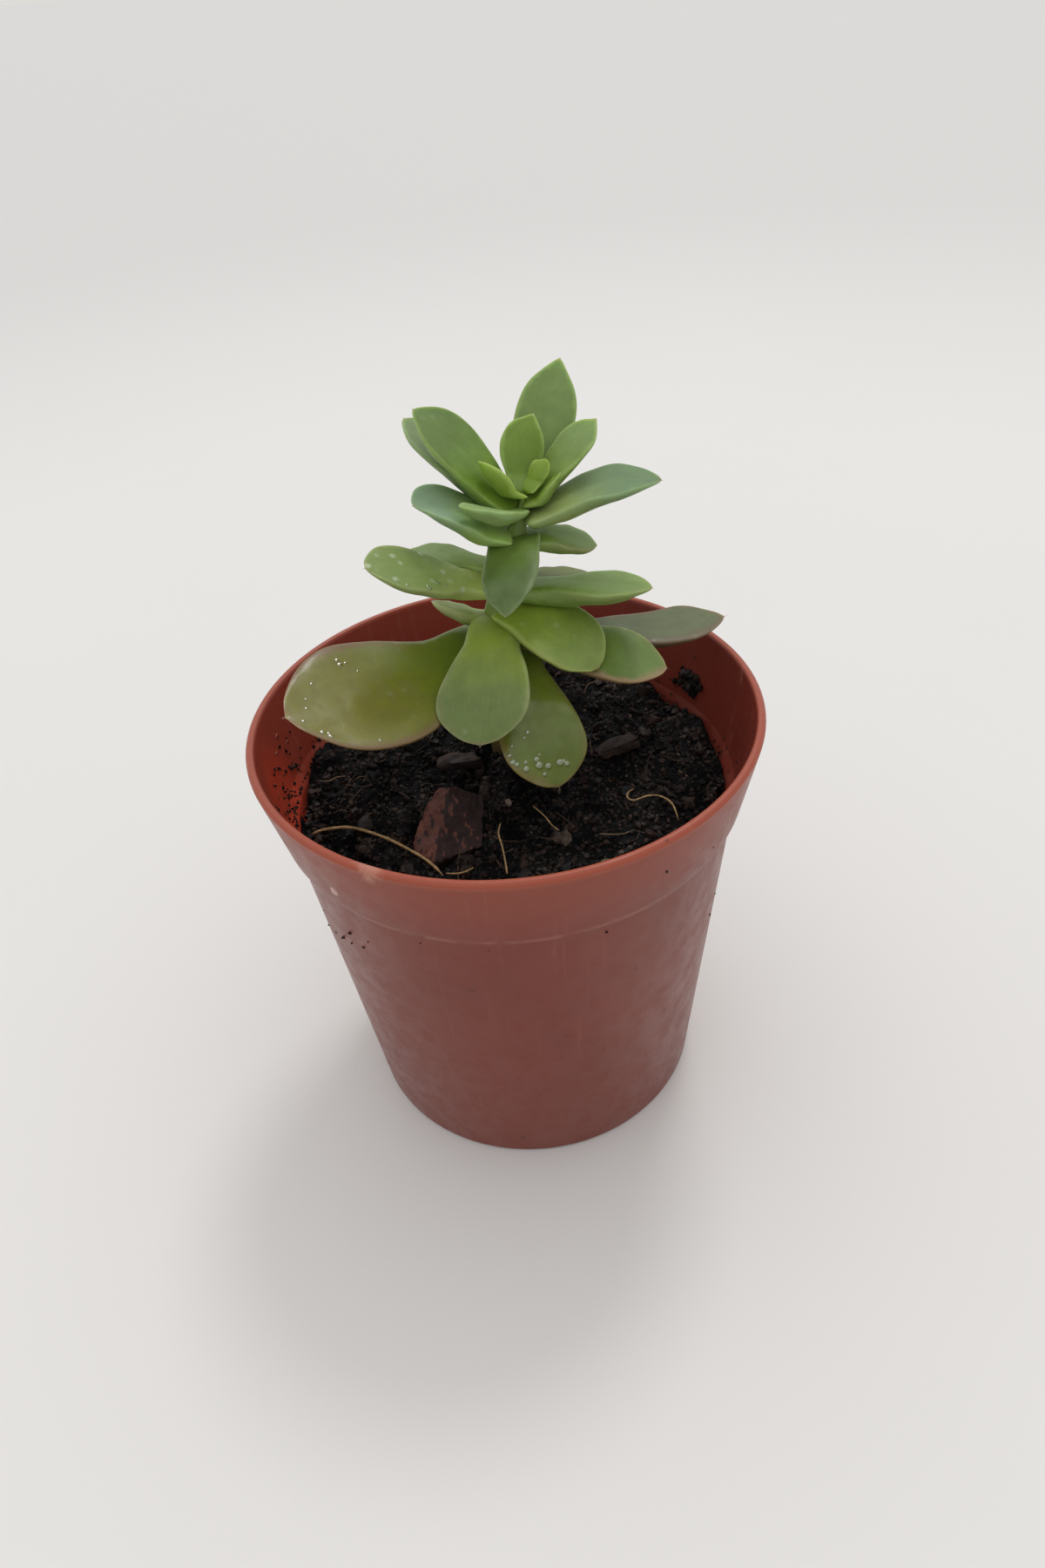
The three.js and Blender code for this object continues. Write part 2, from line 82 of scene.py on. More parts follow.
# The root colours were also raised where the leaves crowd round the stem: painted light that lifts the shade
# there.
# How each leaf is finished. Colours are display values from 0 to 255.
# root, blade: skin near the stem and further out. A matching program set these two under this
# stage's lamps and scaled the bloom shares down, and six leaves were then reset.
# bloom: share of waxy bloom, and where it starts.
# edge: colour of the margin and its width in mm. tip: colour of the tip and how strong it is.
# left, right: how much of the tip colour runs along each margin. wet: share of wet skin. dust: dry dust.
# ragged: how torn the tip is, on a leaf that has dried up.
LEAF_LOOKS = {
    "low_leaf_left": dict(slot="low_leaf", root=(106, 124, 33), blade=(118, 110, 23), bloom=0.16,
                          start=0.45, edge=(150, 140, 100), width=0.4, tip=(120, 82, 66), ends=0.9,
                          left=0.8, right=0.65, wet=0.75, dust=0.1),
    "low_leaf_far_right": dict(slot="old_leaf", root=(66, 81, 34), blade=(92, 98, 58), bloom=0.14,
                               start=0.3, edge=(142, 112, 100), width=0.5, tip=(112, 66, 62), ends=1.0,
                               left=0.5, right=0.4, wet=0.1, dust=0.3),
    "low_leaf_front_right": dict(slot="low_leaf", root=(137, 155, 58), blade=(100, 117, 13), bloom=0.045,
                                 start=0.5, edge=(158, 148, 96), width=0.45, tip=(140, 110, 74), ends=0.5,
                                 left=0.2, right=0.45, wet=1.0, dust=0.1),
    "low_leaf_right": dict(slot="low_leaf", root=(100, 124, 33), blade=(94, 118, 30), bloom=0.18,
                           start=0.4, edge=(176, 166, 128), width=0.4, tip=(168, 122, 100), ends=0.6,
                           left=0.1, right=0.6, wet=0.2, dust=0.15),
    "low_leaf_stub": dict(slot="low_leaf", root=(156, 176, 80), blade=(166, 180, 96), bloom=0.09,
                          start=0.5, edge=(196, 196, 150), width=0.4, tip=(206, 200, 168), ends=1.0,
                          left=0.3, right=0.3, wet=0.0, dust=0.4, ragged=0.5),
    "low_leaf_front": dict(slot="low_leaf", root=(148, 166, 57), blade=(99, 116, 42), bloom=0.25,
                           start=0.2, edge=(172, 186, 144), width=0.35, tip=(150, 120, 96), ends=0.5,
                           left=0.15, right=0.15, wet=0.1, dust=0.15),
    "mid_leaf_front_right": dict(slot="grown_leaf", root=(140, 162, 54), blade=(126, 146, 62), bloom=0.09,
                                 start=0.5, edge=(182, 192, 118), width=0.35, tip=(150, 118, 76),
                                 ends=0.6, left=0.1, right=0.1, wet=0.15, dust=0.2),
    "mid_leaf_back_right": dict(slot="grown_leaf", root=(94, 104, 29), blade=(92, 102, 17), bloom=0.22,
                                start=0.3, edge=(168, 178, 130), width=0.35, tip=(130, 100, 80), ends=0.3,
                                left=0.1, right=0.1, wet=0.0, dust=0.15),
    "mid_leaf_right": dict(slot="grown_leaf", root=(111, 142, 42), blade=(131, 159, 71), bloom=0.27,
                           start=0.3, edge=(178, 190, 136), width=0.35, tip=(146, 120, 90), ends=0.5,
                           left=0.1, right=0.1, wet=0.1, dust=0.2),
    "mid_leaf_left": dict(slot="grown_leaf", root=(186, 203, 104), blade=(124, 143, 63), bloom=0.32,
                          start=0.2, edge=(176, 188, 138), width=0.35, tip=(128, 104, 72), ends=0.7,
                          left=0.15, right=0.1, wet=0.15, dust=0.7),
    "mid_leaf_back_left": dict(slot="grown_leaf", root=(142, 166, 70), blade=(146, 170, 98), bloom=0.27,
                               start=0.2, edge=(180, 192, 140), width=0.35, tip=(130, 110, 80), ends=0.3,
                               left=0.1, right=0.1, wet=0.0, dust=0.3),
    "mid_leaf_small_right": dict(slot="grown_leaf", root=(136, 164, 70), blade=(138, 162, 98), bloom=0.32,
                                 start=0.35, edge=(168, 176, 128), width=0.3, tip=(128, 92, 70), ends=0.8,
                                 left=0.1, right=0.35, wet=0.0, dust=0.2),
    "mid_leaf_front": dict(slot="grown_leaf", root=(102, 125, 51), blade=(66, 90, 22), bloom=0.27,
                           start=0.5, edge=(150, 168, 122), width=0.3, tip=(120, 110, 90), ends=0.5,
                           left=0.1, right=0.1, wet=0.1, dust=0.15),
    "crown_leaf_left": dict(slot="grown_leaf", root=(170, 203, 101), blade=(134, 163, 132), bloom=0.38,
                            start=0.2, edge=(166, 188, 146), width=0.35, tip=(120, 108, 80), ends=0.6,
                            left=0.0, right=0.0, wet=0.0, dust=0.15),
    "crown_leaf_right": dict(slot="grown_leaf", root=(147, 162, 93), blade=(85, 118, 79), bloom=0.38,
                             start=0.35, edge=(166, 188, 146), width=0.35, tip=(118, 92, 66), ends=0.9,
                             left=0.0, right=0.0, wet=0.0, dust=0.15),
    "crown_leaf_left_upper": dict(slot="grown_leaf", root=(99, 127, 51), blade=(112, 131, 77), bloom=0.27,
                                  start=0.35, edge=(168, 190, 140), width=0.4, tip=(130, 130, 90),
                                  ends=0.4, left=0.0, right=0.0, wet=0.0, dust=0.1),
    "crown_leaf_front_left": dict(slot="grown_leaf", root=(140, 168, 84), blade=(138, 166, 100),
                                  bloom=0.36, start=0.1, edge=(174, 194, 148), width=0.3,
                                  tip=(130, 130, 90), ends=0.4, left=0.0, right=0.0, wet=0.0, dust=0.1),
    "crown_leaf_back": dict(slot="grown_leaf", root=(100, 130, 39), blade=(107, 132, 57), bloom=0.16,
                            start=0.4, edge=(172, 188, 122), width=0.4, tip=(150, 140, 96), ends=0.5,
                            left=0.0, right=0.0, wet=0.0, dust=0.1),
    "crown_leaf_left_inner": dict(slot="grown_leaf", root=(124, 156, 52), blade=(91, 118, 38), bloom=0.16,
                                  start=0.45, edge=(172, 188, 118), width=0.4, tip=(150, 150, 100),
                                  ends=0.3, left=0.0, right=0.0, wet=0.0, dust=0.1),
    "crown_leaf_right_inner": dict(slot="young_leaf", root=(116, 142, 48), blade=(121, 146, 76),
                                   bloom=0.11, start=0.6, edge=(184, 198, 128), width=0.4,
                                   tip=(150, 110, 80), ends=0.5, left=0.0, right=0.0, wet=0.0, dust=0.05),
    "crown_leaf_centre": dict(slot="young_leaf", root=(102, 130, 21), blade=(104, 132, 25), bloom=0.045,
                              start=0.7, edge=(190, 204, 132), width=0.4, tip=(180, 186, 120), ends=0.4,
                              left=0.0, right=0.0, wet=0.0, dust=0.05),
    "bud_leaf_right": dict(slot="young_leaf", root=(112, 138, 40), blade=(116, 141, 53), bloom=0.045,
                           start=0.7, edge=(186, 200, 128), width=0.3, tip=(170, 170, 110), ends=0.3,
                           left=0.0, right=0.0, wet=0.0, dust=0.05),
    "bud_leaf_left": dict(slot="young_leaf", root=(135, 163, 32), blade=(145, 170, 46), bloom=0.068,
                          start=0.6, edge=(194, 208, 144), width=0.35, tip=(180, 186, 130), ends=0.3,
                          left=0.0, right=0.0, wet=0.0, dust=0.05),
    "bud_leaf_centre": dict(slot="young_leaf", root=(114, 142, 24), blade=(121, 147, 32), bloom=0.022,
                            start=0.7, edge=(186, 200, 124), width=0.3, tip=(170, 176, 110), ends=0.3,
                            left=0.0, right=0.0, wet=0.0, dust=0.0),
}
LOW_LEAVES = [name for name in LEAF_LOOKS if name.startswith("low")]
MIDDLE_LEAVES = [name for name in LEAF_LOOKS if name.startswith("mid")]
CROWN_LEAVES = [name for name in LEAF_LOOKS if name.startswith(("crown", "bud"))]
BLOOM = (132, 152, 100)


# ------------------------------------------------------------------------------- small helpers


def ink(red, green, blue):
    """A display colour from 0 to 255 as a linear colour with alpha."""

    def linear(value):
        share = value / 255
        return share / 12.92 if share <= 0.04045 else ((share + 0.055) / 1.055) ** 2.4

    return (linear(red), linear(green), linear(blue), 1.0)


def settings():
    return bpy.context.scene.succulent


def smooth_step(value, low, high):
    share = min(1.0, max(0.0, (value - low) / (high - low)))
    return share * share * (3 - 2 * share)


def merged(node):
    """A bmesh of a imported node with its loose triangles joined."""
    mesh = bmesh.new()
    mesh.from_mesh(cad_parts[node].data)
    bmesh.ops.remove_doubles(mesh, verts=mesh.verts, dist=MERGE)
    return mesh


def make_piece(name, mesh, node=None, material=None, sharp=None):
    """Turns a bmesh into a piece on the plant's body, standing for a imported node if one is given."""
    data = bpy.data.meshes.new(name)
    mesh.to_mesh(data)
    mesh.free()
    data.shade_smooth()
    if sharp:
        data.set_sharp_from_angle(angle=math.radians(sharp))
    piece = bpy.data.objects.new(name, data)
    bpy.context.scene.collection.objects.link(piece)
    if material:
        data.materials.append(material)
    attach(piece, BODY)
    if node:
        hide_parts(node)
    return piece


# ------------------------------------------------------------------------------- shader helpers


class Wiring:
    """Adds nodes to one shader tree, each joined to what feeds it."""

    def __init__(self, tree):
        self.tree = tree

    def add(self, kind, feeds=None, **values):
        node = self.tree.nodes.new(kind)
        for key, value in values.items():
            setattr(node, key, value)
        for key, value in (feeds or {}).items():
            if isinstance(value, bpy.types.NodeSocket):
                self.tree.links.new(value, node.inputs[key])
            else:
                node.inputs[key].default_value = value
        return node

    def math(self, operation, first, second=0.0):
        return self.add("ShaderNodeMath", {0: first, 1: second}, operation=operation).outputs[0]

    def mix(self, share, first, second, blend="MIX"):
        feeds = {0: share, 6: first, 7: second}
        node = self.add("ShaderNodeMix", feeds, data_type="RGBA", blend_type=blend)
        return node.outputs[2]

    def times(self, first, second):
        return self.math("MULTIPLY", first, second)

    def shaded(self, share, colour, value):
        """A colour multiplied by a grey value, by a share."""
        grey = self.add("ShaderNodeCombineColor", {0: value, 1: value, 2: value}).outputs[0]
        return self.mix(share, colour, grey, "MULTIPLY")

    def step(self, value, low, high, start=0.0, end=1.0):
        feeds = {"Value": value, "From Min": low, "From Max": high, "To Min": start, "To Max": end}
        return self.add("ShaderNodeMapRange", feeds, interpolation_type="SMOOTHSTEP").outputs[0]

    def noise(self, vector, scale, detail=4.0, roughness=0.5, distortion=0.0):
        feeds = {"Vector": vector, "Scale": scale, "Detail": detail, "Roughness": roughness,
                 "Distortion": distortion}
        return self.add("ShaderNodeTexNoise", feeds).outputs[0]

    def cells(self, vector, scale):
        return self.add("ShaderNodeTexVoronoi", {"Vector": vector, "Scale": scale}).outputs[0]

    def stretched(self, vector, scale):
        return self.add("ShaderNodeMapping", {"Vector": vector, "Scale": scale}).outputs[0]

    def near(self, vector, centre, reach):
        """1 at a point, fading to 0 at the reach."""
        gap = self.add("ShaderNodeVectorMath", {0: vector, 1: centre}, operation="DISTANCE")
        return self.step(gap.outputs["Value"], reach, reach * 0.35)

    def place(self):
        return self.add("ShaderNodeTexCoord").outputs["Object"]

    def attribute(self, name):
        return self.add("ShaderNodeAttribute", attribute_name=name).outputs["Fac"]


def open_group(name, inputs, outputs):
    """A shader group with named sockets: its wiring, its input sockets and its output sockets."""
    group = bpy.data.node_groups.new(name, "ShaderNodeTree")
    for label, default in inputs.items():
        kind = "NodeSocketColor" if isinstance(default, tuple) else "NodeSocketFloat"
        group.interface.new_socket(label, in_out="INPUT", socket_type=kind).default_value = default
    for label in outputs:
        kind = "NodeSocketColor" if label == "Colour" else "NodeSocketFloat"
        group.interface.new_socket(label, in_out="OUTPUT", socket_type=kind)
    entry = group.nodes.new("NodeGroupInput")
    result = group.nodes.new("NodeGroupOutput")
    return Wiring(group), entry.outputs, result.inputs


def finish_with(name, group, values, shader=None, bump=0.3, depth=0.1 * MM):
    """A material whose colour, roughness and height come from a shader group."""
    material = bpy.data.materials.get(name)
    if material:
        return material
    material = bpy.data.materials.new(name)
    material.use_nodes = True
    tree = material.node_tree
    wiring = Wiring(tree)
    principled = tree.nodes["Principled BSDF"]
    skin = wiring.add("ShaderNodeGroup", node_tree=bpy.data.node_groups[group])
    for label, value in values.items():
        skin.inputs[label].default_value = value
    tree.links.new(skin.outputs["Colour"], principled.inputs["Base Color"])
    tree.links.new(skin.outputs["Roughness"], principled.inputs["Roughness"])
    relief = {"Height": skin.outputs["Height"], "Strength": bump, "Distance": depth}
    bumps = wiring.add("ShaderNodeBump", relief)
    tree.links.new(bumps.outputs[0], principled.inputs["Normal"])
    for label, value in (shader or {}).items():
        principled.inputs[label].default_value = value
    return material


def make_leaf_skin():
    """Green skin that runs from the stem to the tip, with waxy bloom, a pale margin and a dry tip."""
    wiring, given, out = open_group("leaf_skin", {
        "Root": ink(110, 140, 50), "Blade": ink(115, 145, 80), "Bloom Colour": ink(*BLOOM), "Bloom": 0.5,
        "Bloom Start": 0.3, "Edge": ink(170, 190, 130), "Edge Width": 0.35, "Tip": ink(130, 100, 70),
        "Tip Share": 0.5, "Left": 0.1, "Right": 0.1, "Wet": 0.1, "Dust": 0.1,
    }, ("Colour", "Roughness", "Height"))
    place = wiring.place()
    along, rim = wiring.attribute("along"), wiring.attribute("rim")
    across, upper = wiring.attribute("across"), wiring.attribute("upper")
    broad = wiring.noise(place, 170, 3, 0.55, 0.4)
    middle = wiring.noise(place, 620, 4, 0.6)
    grain = wiring.noise(place, 4200, 3, 0.6)
    drift = wiring.math("MULTIPLY_ADD", broad, 0.5)
    drift.node.inputs[2].default_value = -0.25
    reach = wiring.math("ADD", along, drift)
    # Root to blade: the root colour carries painted light that lifts the shade near the stem.
    skin = wiring.mix(wiring.step(reach, 0.12, 0.75), given["Root"], given["Blade"])
    mottle = wiring.step(middle, 0.3, 0.72, 0.9, 1.1)
    skin = wiring.shaded(0.8, skin, mottle)
    mixed = wiring.math("ADD", broad, wiring.times(middle, 0.5))
    patch = wiring.step(mixed, 0.52, 0.84, 0.45, 1.0)
    since = wiring.math("SUBTRACT", reach, given["Bloom Start"])
    bloom = wiring.times(wiring.step(since, -0.12, 0.3), patch)
    bloom = wiring.times(bloom, given["Bloom"])
    skin = wiring.mix(bloom, skin, given["Bloom Colour"])
    under = wiring.times(wiring.math("SUBTRACT", 1.0, upper), 0.25)
    skin = wiring.mix(under, skin, given["Bloom Colour"])
    on_leaf = wiring.add("ShaderNodeCombineXYZ", {0: across, 1: along, 2: upper}).outputs[0]
    veins = wiring.noise(wiring.stretched(on_leaf, (9, 1.6, 1)), 3, 4, 0.6)
    skin = wiring.mix(wiring.step(veins, 0.45, 0.75, 0.0, 0.09), skin, given["Edge"])
    width = wiring.times(given["Edge Width"], wiring.step(middle, 0.25, 0.75, 0.55, 1.5))
    edge = wiring.math("SUBTRACT", 1.0, wiring.step(wiring.math("DIVIDE", rim, width), 0.05, 1.35))
    skin = wiring.mix(wiring.times(edge, 0.27), skin, given["Edge"])
    side = wiring.step(across, -0.1, 0.1)
    run = wiring.add("ShaderNodeMix", {0: side, 2: given["Left"], 3: given["Right"]}).outputs[0]
    flush_width = wiring.times(width, wiring.step(broad, 0.3, 0.7, 1.2, 4.5))
    flush = wiring.math("SUBTRACT", 1.0, wiring.step(wiring.math("DIVIDE", rim, flush_width), 0.1, 1.0))
    flush = wiring.times(wiring.times(flush, run), wiring.step(along, 0.15, 0.6))
    skin = wiring.mix(flush, skin, given["Tip"])
    dry = wiring.step(wiring.math("ADD", along, wiring.times(middle, 0.04)), 0.955, 1.015)
    skin = wiring.mix(wiring.times(dry, given["Tip Share"]), skin, given["Tip"])
    specks = wiring.step(wiring.cells(place, 640), 0.3, 0.1)
    specks = wiring.times(specks, wiring.step(broad, 0.5, 0.62))
    specks = wiring.times(specks, wiring.times(given["Dust"], 0.7))
    skin = wiring.mix(specks, skin, ink(205, 212, 190))
    fine = wiring.step(grain, 0.25, 0.75, 0.95, 1.05)
    skin = wiring.shaded(0.7, skin, fine)
    wiring.tree.links.new(skin, out["Colour"])
    matte = wiring.math("ADD", 0.46, wiring.times(bloom, 0.3))
    film = wiring.times(given["Wet"], wiring.step(middle, 0.36, 0.56))
    rough = wiring.add("ShaderNodeMix", {0: film, 2: matte, 3: 0.24}).outputs[0]
    wiring.tree.links.new(rough, out["Roughness"])
    height = wiring.math("ADD", wiring.times(grain, 0.35), wiring.times(middle, 0.9))
    wiring.tree.links.new(height, out["Height"])


def make_earth():
    """Damp peat: near black with brown and purplish crumbs, and a few pale specks."""
    wiring, given, out = open_group("damp_earth", {
        "Dark": ink(9, 8, 8), "Brown": ink(46, 37, 33), "Pale": ink(96, 84, 72), "Lightness": 0.75,
        "Wet": 0.7,
    }, ("Colour", "Roughness", "Height"))
    place, lot = wiring.place(), wiring.attribute("lot")
    broad = wiring.noise(place, 260, 4, 0.6)
    fine = wiring.noise(place, 2400, 5, 0.65)
    shade = wiring.math("ADD", wiring.times(broad, 0.6), wiring.times(lot, 0.5))
    earth = wiring.mix(wiring.step(shade, 0.3, 0.92), given["Dark"], given["Brown"])
    earth = wiring.mix(wiring.step(fine, 0.62, 0.82, 0.0, 0.45), earth, given["Pale"])
    chip = wiring.step(lot, 0.965, 0.99, 0.0, 0.8)
    earth = wiring.mix(chip, earth, given["Pale"])
    dim = wiring.times(wiring.step(fine, 0.3, 0.7, 0.55, 1.3), given["Lightness"])
    earth = wiring.shaded(1.0, earth, dim)
    wiring.tree.links.new(earth, out["Colour"])
    film = wiring.times(wiring.step(broad, 0.42, 0.6), given["Wet"])
    rough = wiring.add("ShaderNodeMix", {0: film, 2: 0.9, 3: 0.26}).outputs[0]
    wiring.tree.links.new(rough, out["Roughness"])
    wiring.tree.links.new(fine, out["Height"])


def make_wood_grain():
    """Bark and splinters: thin darker layers along one direction, with worn paler edges, and painted shade on
    the faces that an attribute marks.
    """
    wiring, given, out = open_group("wood_grain", {
        "Dark": ink(40, 24, 20), "Mid": ink(104, 58, 46), "Pale": ink(140, 88, 70), "Layers": 1500.0,
    }, ("Colour", "Roughness", "Height"))
    place = wiring.place()
    lie = {"Vector": place, "Rotation": (0.35, 0.2, 0.5), "Scale": (0.12, 0.3, 1)}
    bent = wiring.add("ShaderNodeMapping", lie)
    layers = wiring.noise(bent.outputs[0], given["Layers"], 5, 0.6, 0.6)
    blotch = wiring.noise(place, 420, 5, 0.65)
    fine = wiring.noise(place, 3200, 4, 0.7)
    wood = wiring.mix(wiring.step(layers, 0.22, 0.5), given["Dark"], given["Mid"])
    wood = wiring.mix(wiring.step(blotch, 0.5, 0.75, 0.0, 0.7), wood, given["Pale"])
    wood = wiring.mix(wiring.step(fine, 0.5, 0.75, 0.0, 0.55), wood, given["Dark"])
    # Painted shade: faces marked by the attribute are darkened as if in shadow, with blotchy edges.
    side_shade = wiring.math("ADD", wiring.attribute("side_shade"), wiring.math("SUBTRACT", blotch, 0.5))
    wood = wiring.mix(wiring.step(side_shade, 0.2, 0.75, 0.0, 0.85), wood, ink(20, 14, 13))
    wiring.tree.links.new(wood, out["Colour"])
    wiring.tree.links.new(wiring.step(blotch, 0.3, 0.7, 0.55, 0.9), out["Roughness"])
    wiring.tree.links.new(wiring.math("ADD", layers, wiring.times(fine, 0.6)), out["Height"])


def make_plastic():
    """Moulded terracotta plastic: brighter at the lip, which is a painted highlight, dull low down, with
    scuffs, runs and dust, painted shade on the inner wall and a painted reflection on the lip.
    """
    wiring, given, out = open_group("pot_plastic", {
        "Body": ink(128, 60, 46), "Lit Lip": ink(166, 80, 56), "Inside": ink(150, 62, 46),
        "Bare": ink(186, 66, 44), "Scuff And Sheen": ink(196, 140, 118), "Grime And Shade": ink(50, 30, 26), "Top": POT_HIGH.z,
    }, ("Colour", "Roughness", "Height"))
    place = wiring.place()
    split = wiring.add("ShaderNodeSeparateXYZ", {0: place})
    height = split.outputs[2]
    inner = wiring.attribute("inner")
    broad = wiring.noise(place, 60, 4, 0.55)
    middle = wiring.noise(place, 420, 5, 0.65)
    fine = wiring.noise(place, 3000, 3, 0.6)
    angle = wiring.math("ARCTAN2", split.outputs[1], split.outputs[0])
    around = wiring.add("ShaderNodeCombineXYZ", {0: angle, 1: 0.0, 2: height}).outputs[0]
    runs = wiring.noise(wiring.stretched(around, (26, 1, 60)), 1, 5, 0.6)
    shade = wiring.mix(wiring.step(broad, 0.35, 0.7, 0.0, 0.35), given["Body"], given["Grime And Shade"])
    shade = wiring.mix(wiring.times(wiring.step(broad, 0.35, 0.7), 0.25), given["Body"], shade)
    rise = wiring.math("SUBTRACT", given["Top"], height)
    # Painted highlight: the collar band and the very top are lightened towards the lip colour, standing in
    # for light falling on the rim.
    shade = wiring.mix(wiring.step(rise, 0.0105, 0.0012, 0.0, 0.3), shade, given["Lit Lip"])
    shade = wiring.mix(wiring.step(rise, 0.0012, 0.0002, 0.0, 0.8), shade, given["Lit Lip"])
    wall = wiring.mix(wiring.near(place, (-0.0245, -0.003, 0.0425), 0.009), given["Inside"], given["Bare"])
    # Painted shade: the inner wall towards +x is darkened towards the grime colour, standing in for the
    # leaves' shadow.
    wall = wiring.mix(wiring.step(split.outputs[0], -0.002, 0.02, 0.0, 0.3), wall, given["Grime And Shade"])
    shade = wiring.mix(inner, shade, wall)
    # Pale patches on the lip: the one at the front left is a scuff, and the one on the +x side is a painted
    # reflection of the bright surroundings.
    for spot, reach in (((-0.0135, -0.0238, 0.0509), 0.0022), ((0.0258, 0.0035, 0.0505), 0.0016)):
        scuff_and_sheen = wiring.times(wiring.near(place, spot, reach), wiring.step(middle, 0.45, 0.6))
        shade = wiring.mix(wiring.times(scuff_and_sheen, 0.6), shade, given["Scuff And Sheen"])
    streak = wiring.times(wiring.step(runs, 0.55, 0.72), wiring.step(middle, 0.35, 0.6))
    strength = wiring.add("ShaderNodeMix", {0: inner, 2: 0.1, 3: 0.22}).outputs[0]
    streak = wiring.times(streak, strength)
    shade = wiring.mix(streak, shade, given["Scuff And Sheen"])
    band = wiring.math("ABSOLUTE", wiring.math("SUBTRACT", rise, 0.0096))
    band = wiring.times(wiring.step(band, 0.0007, 0.0001), wiring.step(middle, 0.42, 0.56))
    band = wiring.times(band, wiring.math("SUBTRACT", 1.0, inner))
    shade = wiring.mix(wiring.times(band, 0.3), shade, given["Scuff And Sheen"])
    long_lines = wiring.noise(wiring.stretched(around, (5, 1, 2600)), 1, 4, 0.7)
    lines = wiring.times(wiring.step(long_lines, 0.6, 0.72), wiring.step(middle, 0.5, 0.62))
    shade = wiring.mix(wiring.times(lines, 0.25), shade, given["Scuff And Sheen"])
    specks = wiring.step(wiring.cells(place, 420), 0.16, 0.05)
    specks = wiring.times(specks, wiring.step(middle, 0.52, 0.6))
    shade = wiring.mix(wiring.times(specks, 0.6), shade, given["Grime And Shade"])
    wiring.tree.links.new(shade, out["Colour"])
    rough = wiring.math("ADD", wiring.step(middle, 0.3, 0.7, 0.3, 0.44), wiring.times(streak, 0.4))
    wiring.tree.links.new(rough, out["Roughness"])
    ripple = wiring.math("ADD", wiring.times(middle, 0.6), wiring.times(fine, 0.15))
    wiring.tree.links.new(wiring.math("ADD", ripple, wiring.times(lines, -0.3)), out["Height"])


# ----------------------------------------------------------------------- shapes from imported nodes


def node_rings(node, beside=None):
    """A packed leaf or stem as rings of points, from its root end to its tip.

    A ring's first and middle points lie on the two margins, and the points between them, going up
    the list, are on the upper face. The end rings are one point each.
    """
    mesh = merged(node)
    ends = [v for v in mesh.verts if len(v.link_edges) == POLE_EDGES]
    if len(ends) != 2:
        raise RuntimeError(f"{node} has {len(ends)} ends")
    ends.sort(key=lambda v: beside(v.co) if beside else v.co.z)
    seen, loops = {ends[0]}, [[ends[0]]]
    while True:
        ring = []
        for vert in loops[-1]:
            for edge in vert.link_edges:
                other = edge.other_vert(vert)
                if other not in seen:
                    seen.add(other)
                    ring.append(other)
        if not ring:
            break
        loops.append(ring)
    ordered = []
    for ring in loops[1:-1]:
        members, walk = set(ring), [ring[0]]
        while len(walk) < len(ring):
            walk.append(next(e.other_vert(walk[-1]) for e in walk[-1].link_edges
                             if e.other_vert(walk[-1]) in members and e.other_vert(walk[-1]) not in walk))
        ordered.append([v.co.copy() for v in walk])
    sides = len(ordered[0])
    middle = len(ordered) // 2
    belt = ordered[middle]
    widest = max(range(sides // 2), key=lambda j: (belt[j] - belt[j + sides // 2]).length)
    turned = [belt[(widest + j) % sides] for j in range(sides)]
    centre = (turned[0] + turned[sides // 2]) / 2
    if (turned[sides // 4] - centre).length > (turned[3 * sides // 4] - centre).length:
        turned = [turned[-j] for j in range(sides)]
    ordered[middle] = turned
    for step in (1, -1):
        k = middle + step
        while 0 <= k < len(ordered):
            near = ordered[k - step]
            choices = [[ordered[k][(start + way * j) % sides] for j in range(sides)]
                       for start in range(sides) for way in (1, -1)]
            ordered[k] = min(choices, key=lambda ring: sum(
                (a - b).length_squared for a, b in zip(ring, near)))
            k += step
    root, tip = loops[0][0].co.copy(), loops[-1][0].co.copy()
    mesh.free()
    return [[root] * sides, *ordered, [tip] * sides]


def curve_through(points, share):
    """A point on the smooth curve through four points, from the second to the third."""
    a, b, c, d = points
    return (b * 2 + (c - a) * share + (a * 2 - b * 5 + c * 4 - d) * share ** 2
            + (b * 3 - a - c * 3 + d) * share ** 3) / 2


def on_ring(ring, turn):
    sides = len(ring)
    j = math.floor(turn)
    return curve_through([ring[(j + i) % sides] for i in (-1, 0, 1, 2)], turn - j)


def on_surface(rings, level, turn):
    """The smooth surface through the rings, which carries on down the other side beyond an end."""
    sides, last = len(rings[0]), len(rings) - 1
    k = min(last - 1, max(0, math.floor(level)))
    points = []
    for i in (k - 1, k, k + 1, k + 2):
        if i < 0:
            points.append(on_ring(rings[-i], turn + sides / 2))
        elif i > last:
            points.append(on_ring(rings[2 * last - i], turn + sides / 2))
        else:
            points.append(on_ring(rings[i], turn))
    return curve_through(points, level - k)


STEM_RINGS = node_rings("stem")
STEM_LINE = [sum(ring, Vector()) / len(ring) for ring in STEM_RINGS]


def stem_axis(height):
    """The middle of the stem at a height."""
    for low, high in zip(STEM_LINE, STEM_LINE[1:]):
        if high.z >= height:
            return low.lerp(high, max(0.0, (height - low.z) / max(high.z - low.z, MERGE)))
    return STEM_LINE[-1].copy()


def from_stem(point):
    return (point - stem_axis(point.z)).length


